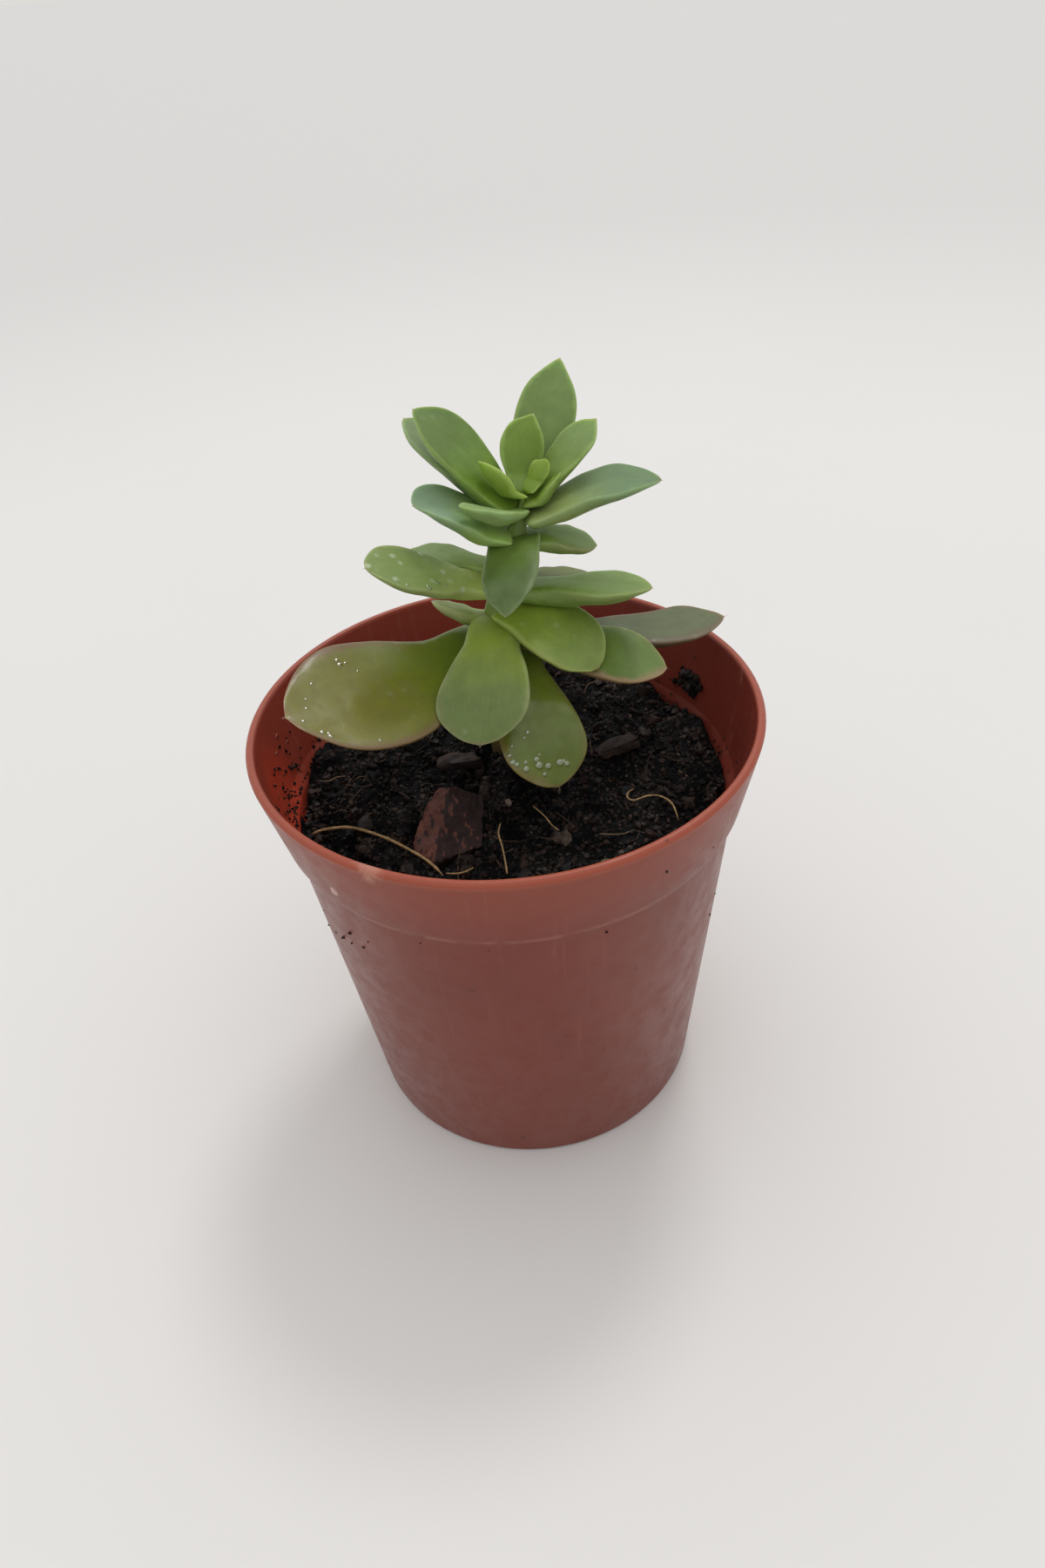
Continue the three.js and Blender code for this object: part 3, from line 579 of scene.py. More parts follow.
def draw_leaf(node, around, rows):
    """A smooth closed leaf over a packed leaf's rings, with the places its finish needs."""
    rings = node_rings(node, from_stem)
    last, sides = len(rings) - 1, len(rings[0])
    mesh = bmesh.new()
    bmesh.ops.create_uvsphere(mesh, u_segments=around, v_segments=rows, radius=1)
    layers = {key: mesh.verts.layers.float.new(key) for key in ("along", "rim", "across", "upper")}
    look = settings().leaves
    seat = rings[0][0]
    inward = (stem_axis(seat.z) - seat) * look.root_share
    finish = LEAF_LOOKS[node]
    half = [max((ring[0] - ring[sides // 2]).length / 2, MERGE) for ring in rings]
    seed = Vector((seat.x * 900, seat.y * 900, seat.z * 700))
    lengths = [0.0]
    for a, b in zip(rings, rings[1:]):
        upper, lower = sides // 4, 3 * sides // 4
        lengths.append(lengths[-1] + ((a[upper] + a[lower]) / 2 - (b[upper] + b[lower]) / 2).length)
    for vert in mesh.verts:
        level = math.acos(max(-1.0, min(1.0, -vert.co.z))) / math.pi * last
        turn = math.atan2(vert.co.y, vert.co.x) / math.tau * sides
        k = min(last - 1, int(level))
        share = level - k
        along = (lengths[k] + (lengths[k + 1] - lengths[k]) * share) / lengths[-1]
        across = math.cos(turn / sides * math.tau)
        face = math.sin(turn / sides * math.tau)
        point = on_surface(rings, level, turn)
        left, right = on_surface(rings, level, 0), on_surface(rings, level, sides / 2)
        middle, breadth = (left + right) / 2, (left - right).length / 2
        if breadth > MERGE:
            side = (left - right).normalized()
            sideways = side * (point - middle).dot(side)
            held = max(half) * finish.get("clasp", look.clasp) * math.sqrt(min(1.0, along / 0.04))
            held *= 1 - smooth_step(along, 0.1, 0.5)
            wide = (breadth ** 4 + held ** 4) ** 0.25
            fat = 1 + look.fleshy_root * (1 - smooth_step(along, 0.1, 0.6))
            point = middle + sideways * (wide / breadth) + (point - middle - sideways) * fat
            breadth = wide
        swell = noise.noise(seed + point * 260) * look.waviness
        swell += noise.noise(seed + point * 900) * look.waviness * 0.3
        fade = smooth_step(along, 0.02, 0.15) * smooth_step(1.0, along, along + 0.12)
        outward = point - middle
        if outward.length > MERGE:
            point += outward.normalized() * swell * fade * (0.35 + 0.65 * abs(face))
        ripple = noise.noise(seed + Vector((along * 5, across, 7)))
        point += UP * ripple * look.waviness * 1.6 * across ** 2 * fade
        if "ragged" in finish:
            tear = noise.noise(seed + Vector((across * 2.4, 3, face)))
            point += (rings[-1][0] - rings[-3][0]) * finish["ragged"] * tear * smooth_step(along, 0.55, 1.0)
        point += inward * (1 - smooth_step(along, 0.0, 0.22))
        vert.co = point
        vert[layers["along"]] = along
        vert[layers["rim"]] = breadth * (1 - abs(across)) / MM
        vert[layers["across"]] = across
        vert[layers["upper"]] = smooth_step(face, -0.25, 0.25)
    bmesh.ops.recalc_face_normals(mesh, faces=mesh.faces)
    return mesh


def leaf_material(node):
    look = LEAF_LOOKS[node]
    options = settings().leaves
    values = {
        "Root": ink(*look["root"]), "Blade": ink(*look["blade"]),
        "Bloom Colour": (*options.bloom_colour, 1.0), "Bloom": look["bloom"], "Bloom Start": look["start"],
        "Edge": ink(*look["edge"]), "Edge Width": look["width"], "Tip": ink(*look["tip"]),
        "Tip Share": look["ends"], "Left": look["left"], "Right": look["right"], "Wet": look["wet"],
        "Dust": look["dust"],
    }
    shader = {"Subsurface Weight": options.glow, "Subsurface Radius": FLESH_RADII,
              "Subsurface Scale": options.glow_depth, "Specular IOR Level": 0.42,
              "Coat Weight": 0.2 * look["wet"], "Coat Roughness": 0.08}
    return finish_with(node + "_skin", "leaf_skin", values, shader, 0.35, 0.06 * MM)


def make_leaves(nodes):
    options = settings().leaves
    for node in nodes:
        mesh = draw_leaf(node, options.around, options.rows)
        make_piece("visual_" + node, mesh, node, leaf_material(node))


# ----------------------------------------------------------------------------------- settings


class PotSettings(bpy.types.PropertyGroup):
    sides: bpy.props.IntProperty(name="Sides", description="Facets round the pot", default=192, min=24)
    wall: bpy.props.FloatProperty(name="Wall", description="Thickness of the wall", default=0.9 * MM,
                                  unit="LENGTH")
    collar_depth: bpy.props.FloatProperty(name="Collar depth", description="Height of the band under the lip",
                                          default=9.2 * MM, unit="LENGTH")
    collar_foot: bpy.props.FloatProperty(name="Collar foot radius", description="Radius where the band ends",
                                         default=25.6 * MM, unit="LENGTH")
    body_top: bpy.props.FloatProperty(name="Body top radius", description="Radius just below the band",
                                      default=24.7 * MM, unit="LENGTH")
    foot: bpy.props.FloatProperty(name="Foot radius", description="Radius at the floor", default=20.4 * MM,
                                  unit="LENGTH")
    step: bpy.props.FloatProperty(name="Step", description="Height of the slope under the band",
                                  default=1.3 * MM, unit="LENGTH")
    holes: bpy.props.IntProperty(name="Drain holes", description="Holes through the base", default=8)
    body_colour: bpy.props.FloatVectorProperty(name="Body colour", description="Colour of the plastic",
                                               subtype="COLOR", default=ink(124, 53, 38)[:3])
    # Painted highlight: the colour of the lit rim.
    lit_lip_colour: bpy.props.FloatVectorProperty(name="Lip colour", description="Colour near the lip",
                                              subtype="COLOR", default=ink(166, 80, 56)[:3])
    inside_colour: bpy.props.FloatVectorProperty(name="Inside colour", description="Colour of the inner wall",
                                                 subtype="COLOR", default=ink(150, 62, 46)[:3])


class LeafSettings(bpy.types.PropertyGroup):
    around: bpy.props.IntProperty(name="Around", description="Faces round each leaf", default=56, min=12)
    rows: bpy.props.IntProperty(name="Rows", description="Rows of faces along each leaf", default=56, min=12)
    waviness: bpy.props.FloatProperty(name="Waviness", description="Height of the gentle swellings",
                                      default=0.16 * MM, unit="LENGTH")
    root_share: bpy.props.FloatProperty(name="Root reach", description="How far roots go in, as a share",
                                        default=0.8, min=0, max=1)
    clasp: bpy.props.FloatProperty(name="Clasp", description="Root width as a share of the full width",
                                   default=0.6, min=0, max=1)
    fleshy_root: bpy.props.FloatProperty(name="Fleshy root", description="Added thickness near the root",
                                         default=0.4, min=0)
    glow: bpy.props.FloatProperty(name="Glow", description="Share of light that passes through the flesh",
                                  default=0.5, min=0, max=1)
    glow_depth: bpy.props.FloatProperty(name="Glow depth", description="How deep light goes in the flesh",
                                        default=1.6 * MM, unit="LENGTH")
    bloom_colour: bpy.props.FloatVectorProperty(name="Bloom colour", description="Colour of the waxy bloom",
                                                subtype="COLOR", default=ink(*BLOOM)[:3])


class SoilSettings(bpy.types.PropertyGroup):
    grid: bpy.props.IntProperty(name="Grid", description="Faces across the soil bed", default=210, min=20)
    clod: bpy.props.FloatProperty(name="Clod height", description="Height of the clods in the bed",
                                  default=0.75 * MM, unit="LENGTH")
    crumbs: bpy.props.IntProperty(name="Crumbs", description="Number of fine crumbs", default=9000)
    lumps: bpy.props.IntProperty(name="Lumps", description="Number of larger lumps", default=170)
    strands: bpy.props.IntProperty(name="Strands", description="Number of short fibres", default=150)
    seed: bpy.props.IntProperty(name="Seed", description="Start of the random draws", default=7)
    dark: bpy.props.FloatVectorProperty(name="Dark", description="Colour of wet peat", subtype="COLOR",
                                        default=ink(7, 6, 5)[:3])
    brown: bpy.props.FloatVectorProperty(name="Brown", description="Colour of drier peat", subtype="COLOR",
                                         default=ink(64, 47, 38)[:3])


class StageSettings(bpy.types.PropertyGroup):
    elevation: bpy.props.FloatProperty(name="Elevation", description="Angle of the camera above the horizon",
                                       subtype="ANGLE", default=math.radians(38.14))
    roll: bpy.props.FloatProperty(name="Roll", description="Turn of the camera about its own line of sight",
                                  subtype="ANGLE", default=math.radians(-5.25))
    distance: bpy.props.FloatProperty(name="Distance", description="From the camera to the middle of the lip",
                                      default=116.05 * MM, unit="LENGTH")
    lens: bpy.props.FloatProperty(name="Lens", description="Focal length in millimetres", default=25.0)
    floor_colour: bpy.props.FloatVectorProperty(name="Floor colour", description="Colour of the paper floor",
                                                subtype="COLOR", default=ink(231, 228, 223)[:3])
    backdrop: bpy.props.FloatVectorProperty(name="Backdrop", description="Colour beyond the floor",
                                            subtype="COLOR", default=ink(222, 220, 216)[:3])
    sun: bpy.props.FloatProperty(name="Lamp", description="Strength of the soft lamp above", default=0.95)
    window: bpy.props.FloatProperty(name="Window", description="Strength of the small lamp that makes glints",
                                    default=0.6)
    fill: bpy.props.FloatProperty(name="Fill", description="Strength of the light from all round",
                                  default=0.6)


class SucculentSettings(bpy.types.PropertyGroup):
    pot: bpy.props.PointerProperty(name="Pot", type=PotSettings)
    leaves: bpy.props.PointerProperty(name="Leaves", type=LeafSettings)
    soil: bpy.props.PointerProperty(name="Soil", type=SoilSettings)
    stage: bpy.props.PointerProperty(name="Stage", type=StageSettings)


# ---------------------------------------------------------------------------------------- pot


def pot_outline(pot):
    """The wall's closed section, from the middle of the base, out, over the lip and back."""
    top, rim = POT_HIGH.z, POT_HIGH.x
    collar = top - pot.collar_depth
    under = collar - pot.step
    wall, lip = pot.wall, LIP_ROUND

    def inside(height):
        if height > collar:
            return pot.collar_foot + (rim - pot.collar_foot) * (height - collar) / (top - collar) - wall
        if height > under:
            return pot.body_top + (pot.collar_foot - pot.body_top) * (height - under) / pot.step - wall
        return pot.foot + (pot.body_top - pot.foot) * height / under - wall

    plate, recess, ring = BASE_TOP, FOOT_RECESS, FOOT_RING
    return [
        (0, recess), (pot.foot - ring - 0.6 * MM, recess), (pot.foot - ring, 0), (pot.foot - lip, 0),
        (pot.foot, lip), (pot.body_top, under), (pot.collar_foot - 0.1 * MM, collar),
        (pot.collar_foot + 0.05 * MM, collar + 0.3 * MM), (rim, top - lip), (rim - lip, top),
        (rim - wall + 0.1 * MM, top), (rim - wall - 0.1 * MM, top - lip), (inside(collar), collar),
        (inside(under), under), (inside(plate + MM), plate + MM), (inside(plate) - MM, plate), (0, plate),
    ]


class SUCCULENT_OT_pot(bpy.types.Operator):
    """Turn the thin-walled pot and drill its drain holes"""

    bl_idname = "succulent.pot"
    bl_label = "Pot"

    def execute(self, context):
        pot = settings().pot
        mesh = bmesh.new()
        outline = [mesh.verts.new((radius, 0, height)) for radius, height in pot_outline(pot)]
        edges = [mesh.edges.new(pair) for pair in zip(outline, outline[1:])]
        bmesh.ops.spin(mesh, geom=outline + edges, cent=(0, 0, 0), axis=(0, 0, 1), angle=math.tau,
                       steps=pot.sides, use_merge=True)
        bmesh.ops.remove_doubles(mesh, verts=mesh.verts, dist=MERGE)
        bmesh.ops.recalc_face_normals(mesh, faces=mesh.faces)
        creases = [e for e in mesh.edges if e.is_manifold and e.calc_face_angle() > math.radians(POT_CREASE)]
        bmesh.ops.bevel(mesh, geom=creases, offset=BEVEL, segments=3, profile=0.5, affect="EDGES",
                        material=-1, clamp_overlap=True)
        bmesh.ops.remove_doubles(mesh, verts=mesh.verts, dist=MERGE)
        piece = make_piece("visual_pot", mesh, "pot")
        self.drill(piece, pot)
        data = piece.data
        data.shade_smooth()
        data.set_sharp_from_angle(angle=math.radians(POT_SHARP))
        inner = data.attributes.new("inner", "FLOAT", "POINT")
        inner.data.foreach_set("value", [self.inwards(v) for v in data.vertices])
        data.materials.append(finish_with("pot_plastic_finish", "pot_plastic", {
            "Body": (*pot.body_colour, 1), "Lit Lip": (*pot.lit_lip_colour, 1), "Inside": (*pot.inside_colour, 1),
            "Top": POT_HIGH.z,
        }, {"Specular IOR Level": 0.4, "Subsurface Weight": 0.08, "Subsurface Radius": (1.0, 0.35, 0.2),
            "Subsurface Scale": 0.8 * MM}, 0.25, 0.08 * MM))
        return {"FINISHED"}

    def drill(self, piece, pot):
        """Cut the round drain holes through the base plate."""
        bits = bmesh.new()
        for i in range(pot.holes):
            angle = i / pot.holes * math.tau
            at = (DRAIN_CIRCLE * math.cos(angle), DRAIN_CIRCLE * math.sin(angle), DRAIN_MIDDLE)
            bmesh.ops.create_cone(bits, cap_ends=True, segments=32, radius1=DRAIN_RADIUS,
                                  radius2=DRAIN_RADIUS, depth=DRILL_LENGTH, matrix=Matrix.Translation(at))
        data = bpy.data.meshes.new("drill")
        bits.to_mesh(data)
        bits.free()
        drill = bpy.data.objects.new("drill", data)
        bpy.context.scene.collection.objects.link(drill)
        cut = piece.modifiers.new("drain_holes", "BOOLEAN")
        cut.operation, cut.solver, cut.object = "DIFFERENCE", "EXACT", drill
        seen = piece.evaluated_get(bpy.context.evaluated_depsgraph_get())
        drilled = bpy.data.meshes.new_from_object(seen)
        piece.modifiers.remove(cut)
        piece.data = drilled
        bpy.data.objects.remove(drill)

    @staticmethod
    def inwards(vert):
        """1 on the inner wall, 0 elsewhere."""
        reach = math.hypot(vert.co.x, vert.co.y)
        facing = (vert.normal.x * vert.co.x + vert.normal.y * vert.co.y) / max(reach, MERGE)
        between = 3 * MM < vert.co.z < POT_HIGH.z - 0.2 * MM
        return 1.0 if facing < 0.3 and between else 0.0


# --------------------------------------------------------------------------------------- soil


HOLLOW, HOLLOW_REACH, HOLLOW_DEPTH = Vector((-7.2, 1.6)) * MM, 2.6 * MM, 2.4 * MM


def to_disc(x, y):
    """A point of the unit square moved to the unit disc, keeping cells even."""
    if x == 0 and y == 0:
        return 0.0, 0.0
    if abs(x) > abs(y):
        radius, angle = x, math.pi / 4 * y / x
    else:
        radius, angle = y, math.pi / 2 - math.pi / 4 * x / y
    return radius * math.cos(angle), radius * math.sin(angle)


def edge_radius(x, y, height):
    """How far out the soil reaches in a direction, clear of the wall."""
    pot = settings().pot
    under = POT_HIGH.z - pot.collar_depth - pot.step
    wall = pot.foot + (pot.body_top - pot.foot) * min(height, under) / under - pot.wall
    angle = math.atan2(y, x)
    ragged = 0.16 + 0.22 * noise.noise(Vector((math.cos(angle) * 9, math.sin(angle) * 9, 2)))
    return wall - ragged * MM


def clods(x, y, tall):
    """Height added to the smooth bed by clods and crumbs."""
    place = Vector((x, y, 0)) / MM
    near = noise.voronoi(place * 0.42 + Vector((3, 1, 0)))[0]
    small = noise.voronoi(place * 1.05)[0]
    height = 0.8 * (0.5 - near[0]) + 0.42 * (0.5 - small[0])
    height += 1.35 * noise.fractal(place * 0.2, 0.7, 2.1, 6)
    hollow = (Vector((x, y)) - HOLLOW).length
    return height * tall - HOLLOW_DEPTH * math.exp(-(hollow / HOLLOW_REACH) ** 2)


class SUCCULENT_OT_soil(bpy.types.Operator):
    """Lay the bed of damp peat, lumpy on top and clear of the wall"""

    bl_idname = "succulent.soil"
    bl_label = "Soil bed"

    def execute(self, context):
        soil = settings().soil
        packed = merged("soil")
        tree = BVHTree.FromBMesh(packed)
        packed.free()
        top = SOIL_HIGH.z + 5 * MM
        mesh = bmesh.new()
        bmesh.ops.create_grid(mesh, x_segments=soil.grid, y_segments=soil.grid, size=1)
        for vert in mesh.verts:
            x, y = to_disc(vert.co.x, vert.co.y)
            reach = SOIL_HIGH.x * 0.985
            hit = tree.ray_cast(Vector((x * reach, y * reach, top)), -UP)[0]
            height = hit.z if hit and hit.z > SOIL_LOWEST_TOP else SOIL_LEVEL
            edge = edge_radius(x, y, height)
            vert.co = Vector((x * edge, y * edge, height))
        for _ in range(SOIL_SMOOTHING):
            bmesh.ops.smooth_vert(mesh, verts=[v for v in mesh.verts if not v.is_boundary], factor=0.5,
                                  use_axis_x=False, use_axis_y=False, use_axis_z=True)
        for vert in mesh.verts:
            out = math.hypot(vert.co.x, vert.co.y) / edge_radius(vert.co.x, vert.co.y, vert.co.z)
            vert.co.z += clods(vert.co.x, vert.co.y, soil.clod) - 0.4 * MM * smooth_step(out, 0.94, 1.0)
        for drop, shrink in SOIL_SKIRT:
            rim = [e for e in mesh.edges if e.is_boundary]
            grown = bmesh.ops.extrude_edge_only(mesh, edges=rim)["geom"]
            for vert in (v for v in grown if isinstance(v, bmesh.types.BMVert)):
                vert.co.x *= shrink
                vert.co.y *= shrink
                vert.co.z -= drop * MM
        bmesh.ops.holes_fill(mesh, edges=[e for e in mesh.edges if e.is_boundary], sides=0)
        for vert in mesh.verts:
            vert.co.z = max(vert.co.z, SOIL_FLOOR)
        bmesh.ops.recalc_face_normals(mesh, faces=mesh.faces)
        material = finish_with("peat_finish", "damp_earth", {
            "Dark": (*soil.dark, 1), "Brown": (*soil.brown, 1)}, {"Specular IOR Level": 0.16}, 0.9, 0.3 * MM)
        make_piece("visual_soil_bed", mesh, "soil", material)
        return {"FINISHED"}


def bed_tree():
    return BVHTree.FromObject(bpy.data.objects["visual_soil_bed"], bpy.context.evaluated_depsgraph_get())


def bed_height(tree, x, y):
    hit = tree.ray_cast(Vector((x, y, SOIL_HIGH.z + 9 * MM)), -UP)[0]
    return hit.z if hit else None


def crumb_shapes(draw, count, detail, rough):
    """A few rough crumbs, one unit in radius."""
    shapes = []
    for i in range(count):
        mesh = bmesh.new()
        bmesh.ops.create_icosphere(mesh, subdivisions=detail, radius=1)
        squash = Vector((draw.uniform(0.7, 1.25), draw.uniform(0.7, 1.1), draw.uniform(0.55, 0.95)))
        for vert in mesh.verts:
            knob = 1 + rough * noise.noise(vert.co * 1.7 + Vector((i * 7, 0, 0)))
            knob += draw.uniform(-0.12, 0.12)
            vert.co = Vector(a * b * knob for a, b in zip(vert.co, squash))
        data = bpy.data.meshes.new(f"crumb_{i}")
        mesh.to_mesh(data)
        mesh.free()
        shapes.append(data)
    return shapes


def scatter(name, draw, shapes, places, material):
    """One piece from many copies of the shapes, each placed by a point, a size and a lot number."""
    mesh = bmesh.new()
    lots = []
    for point, size, lot in places:
        shape = draw.choice(shapes)
        turn = Matrix.Rotation(draw.uniform(0, math.tau), 4, "Z")
        tilt = Matrix.Rotation(draw.uniform(0, 3), 4, "X")
        move = Matrix.Translation(point) @ (turn @ tilt) @ Matrix.Scale(size, 4)
        copy = shape.copy()
        copy.transform(move)
        mesh.from_mesh(copy)
        lots.extend([lot] * len(copy.vertices))
        bpy.data.meshes.remove(copy)
    piece = make_piece(name, mesh, None, material, CRUMB_SHARP)
    piece.data.attributes.new("lot", "FLOAT", "POINT").data.foreach_set("value", lots)
    for shape in shapes:
        bpy.data.meshes.remove(shape)


class SUCCULENT_OT_crumbs(bpy.types.Operator):
    """Scatter fine crumbs and larger lumps of peat over the bed"""

    bl_idname = "succulent.crumbs"
    bl_label = "Crumbs"

    def execute(self, context):
        soil = settings().soil
        draw = random.Random(soil.seed)
        tree = bed_tree()
        material = finish_with("crumb_finish", "damp_earth", {
            "Dark": (*soil.dark, 1), "Brown": (*soil.brown, 1), "Lightness": 0.85,
        }, {"Specular IOR Level": 0.3}, 0.8, 0.14 * MM)
        for name, count, detail, sizes, rough in (
                ("visual_soil_crumbs", soil.crumbs, 1, (0.11, 0.42), 0.5),
                ("visual_soil_lumps", soil.lumps, 2, (0.5, 1.0), 0.9)):
            shapes = crumb_shapes(draw, CRUMB_KINDS, detail, rough)
            places = []
            while len(places) < count:
                angle, reach = draw.uniform(0, math.tau), math.sqrt(draw.random()) * CRUMB_REACH
                size = (sizes[0] + (sizes[1] - sizes[0]) * draw.random() ** 2) * MM
                x, y = reach * math.cos(angle), reach * math.sin(angle)
                height = bed_height(tree, x, y)
                if height is None or reach + size > edge_radius(x, y, height) - 0.1 * MM:
                    continue
                point = Vector((x, y, height + size * draw.uniform(-0.3, 0.45)))
                places.append((point, size, draw.random()))
            scatter(name, draw, shapes, places, material)
        return {"FINISHED"}


# Bare fibres that can be told apart: points in mm, then thickness in mm.
FIBRES = (
    (((-21.6, -7.2, 41.9), (-20.1, -6.9, 42.1), (-17.4, -7.1, 42.2), (-14.3, -8.7, 42.1),
      (-11.8, -10.9, 42.3), (-9.1, -13.5, 42.2), (-7.5, -15.2, 41.4)), 0.17),
    (((-7.3, -14.9, 41.5), (-6.1, -15.3, 41.7), (-5.2, -15.2, 41.8), (-4.4, -14.5, 41.6)), 0.09),
    (((-1.4, -8.3, 42.0), (-1.7, -9.9, 41.9), (-1.4, -12.0, 41.8), (-1.2, -14.1, 41.6),
      (-1.1, -15.6, 41.2)), 0.1),
    (((13.2, -5.4, 42.6), (12.4, -6.6, 43.1), (12.2, -7.5, 43.2), (12.8, -8.1, 43.2), (14.3, -7.7, 43.3),
      (15.6, -7.8, 43.2), (16.7, -9.0, 43.0), (17.1, -10.9, 42.2)), 0.1),
    (((2.1, -5.7, 41.8), (2.8, -6.8, 41.8), (3.4, -7.9, 41.8), (4.0, -9.2, 41.7), (4.7, -9.9, 41.5)), 0.08),
)
# Thin roots from the stem into the soil: points in mm.
ROOTLETS = (
    ((0.2, 6.2, 57.6), (0.3, 3.6, 57.0), (0.2, 2.9, 55.6), (0.4, 2.6, 53.8)),
    ((0.9, 5.8, 57.2), (1.5, 3.9, 56.2), (1.3, 3.3, 54.6), (1.8, 3.2, 52.9)),
    ((0.6, 6.0, 55.8), (-1.4, 4.4, 55.0), (-2.0, 4.2, 53.4)),
)


def spin_thread(mesh, points, thick, lot, rows):
    """Adds a thin closed thread along a smooth curve through the points."""
    layer = mesh.verts.layers.float.get("lot") or mesh.verts.layers.float.new("lot")
    line = [points[0], *points, points[-1]]
    last = len(points) - 1
    for vert in bmesh.ops.create_uvsphere(mesh, u_segments=6, v_segments=rows, radius=1)["verts"]:
        share = math.acos(max(-1.0, min(1.0, -vert.co.z))) / math.pi * last
        k = min(last - 1, int(share))
        centre = curve_through(line[k:k + 4], share - k)
        before, after = (curve_through(line[k:k + 4], share - k + by) for by in (-0.02, 0.02))
        ahead = after - before
        side = ahead.cross(Vector((0.31, 0.17, 0.93))).normalized()
        lift = side.cross(ahead).normalized()
        ring = max(math.hypot(vert.co.x, vert.co.y), MERGE)
        closing = min(1.0, ring * 4)
        knots = 1 + 0.3 * noise.noise(centre * 1500)
        reach = thick * closing * knots / ring
        vert.co = centre + (side * vert.co.x + lift * vert.co.y) * reach
        vert[layer] = lot


class SUCCULENT_OT_fibres(bpy.types.Operator):
    """Lay the pale bare fibres on the soil, and short dark ones among the crumbs"""

    bl_idname = "succulent.fibres"
    bl_label = "Fibres"

    def execute(self, context):
        soil = settings().soil
        draw = random.Random(soil.seed + 1)
        tree = bed_tree()
        mesh = bmesh.new()
        for points, thick in FIBRES:
            laid = []
            for x, y, z in points:
                under = bed_height(tree, x * MM, y * MM)
                laid.append(Vector((x * MM, y * MM, max(z * MM, (under or 0) + thick * 1.2 * MM))))
            spin_thread(mesh, laid, thick * MM, 0.9, 60)
        tan = finish_with("fibre_finish", "damp_earth", {
            "Dark": ink(122, 96, 62), "Brown": ink(168, 138, 92), "Pale": ink(206, 184, 140),
            "Lightness": 1.0, "Wet": 0.3}, {}, 0.3, 0.05 * MM)
        make_piece("visual_fibres", mesh, None, tan)
        mesh = bmesh.new()
        made = 0
        while made < soil.strands:
            angle, reach = draw.uniform(0, math.tau), math.sqrt(draw.random()) * STRAND_REACH
            x, y = reach * math.cos(angle), reach * math.sin(angle)
            under = bed_height(tree, x, y)
            if under is None:
                continue
            heading, bend = draw.uniform(0, math.tau), draw.uniform(-0.9, 0.9)
            length = draw.uniform(0.5, 1.5) * MM
            points = [Vector((x, y, under - 0.1 * MM))]
            for _ in range(3):
                heading += bend
                step = Vector((math.cos(heading), math.sin(heading), draw.uniform(-0.25, 0.45)))
                points.append(points[-1] + step * length)
                here = bed_height(tree, points[-1].x, points[-1].y)
                points[-1].z = max(points[-1].z, here or 0)
            if max(math.hypot(p.x, p.y) for p in points) < STRAND_LIMIT:
                spin_thread(mesh, points, draw.uniform(0.025, 0.07) * MM, draw.random(), 14)
                made += 1
        dull = finish_with("strand_finish", "damp_earth", {
            "Dark": ink(30, 22, 18), "Brown": ink(104, 78, 56), "Pale": ink(150, 124, 92), "Lightness": 1.0,
            "Wet": 0.4}, {}, 0.3, 0.05 * MM)
        make_piece("visual_strands", mesh, None, dull)
        return {"FINISHED"}


# Dirt on the outside of the pot: degrees round, height and size in mm.
OUTER_DIRT = (
    (202.6, 30.0, 0.2), (211.2, 32.0, 0.16), (216.7, 33.1, 0.28), (220.5, 33.4, 0.14), (226.2, 34.5, 0.22),
    (206.3, 33.8, 0.12), (222.0, 35.6, 0.3), (229.0, 36.2, 0.15), (334.6, 27.0, 0.2), (337.0, 29.5, 0.13),
    (301.5, 46.3, 0.2), (318.0, 44.0, 0.12), (246.0, 39.6, 0.14), (262.0, 39.7, 0.1), (289.0, 39.6, 0.16),
)


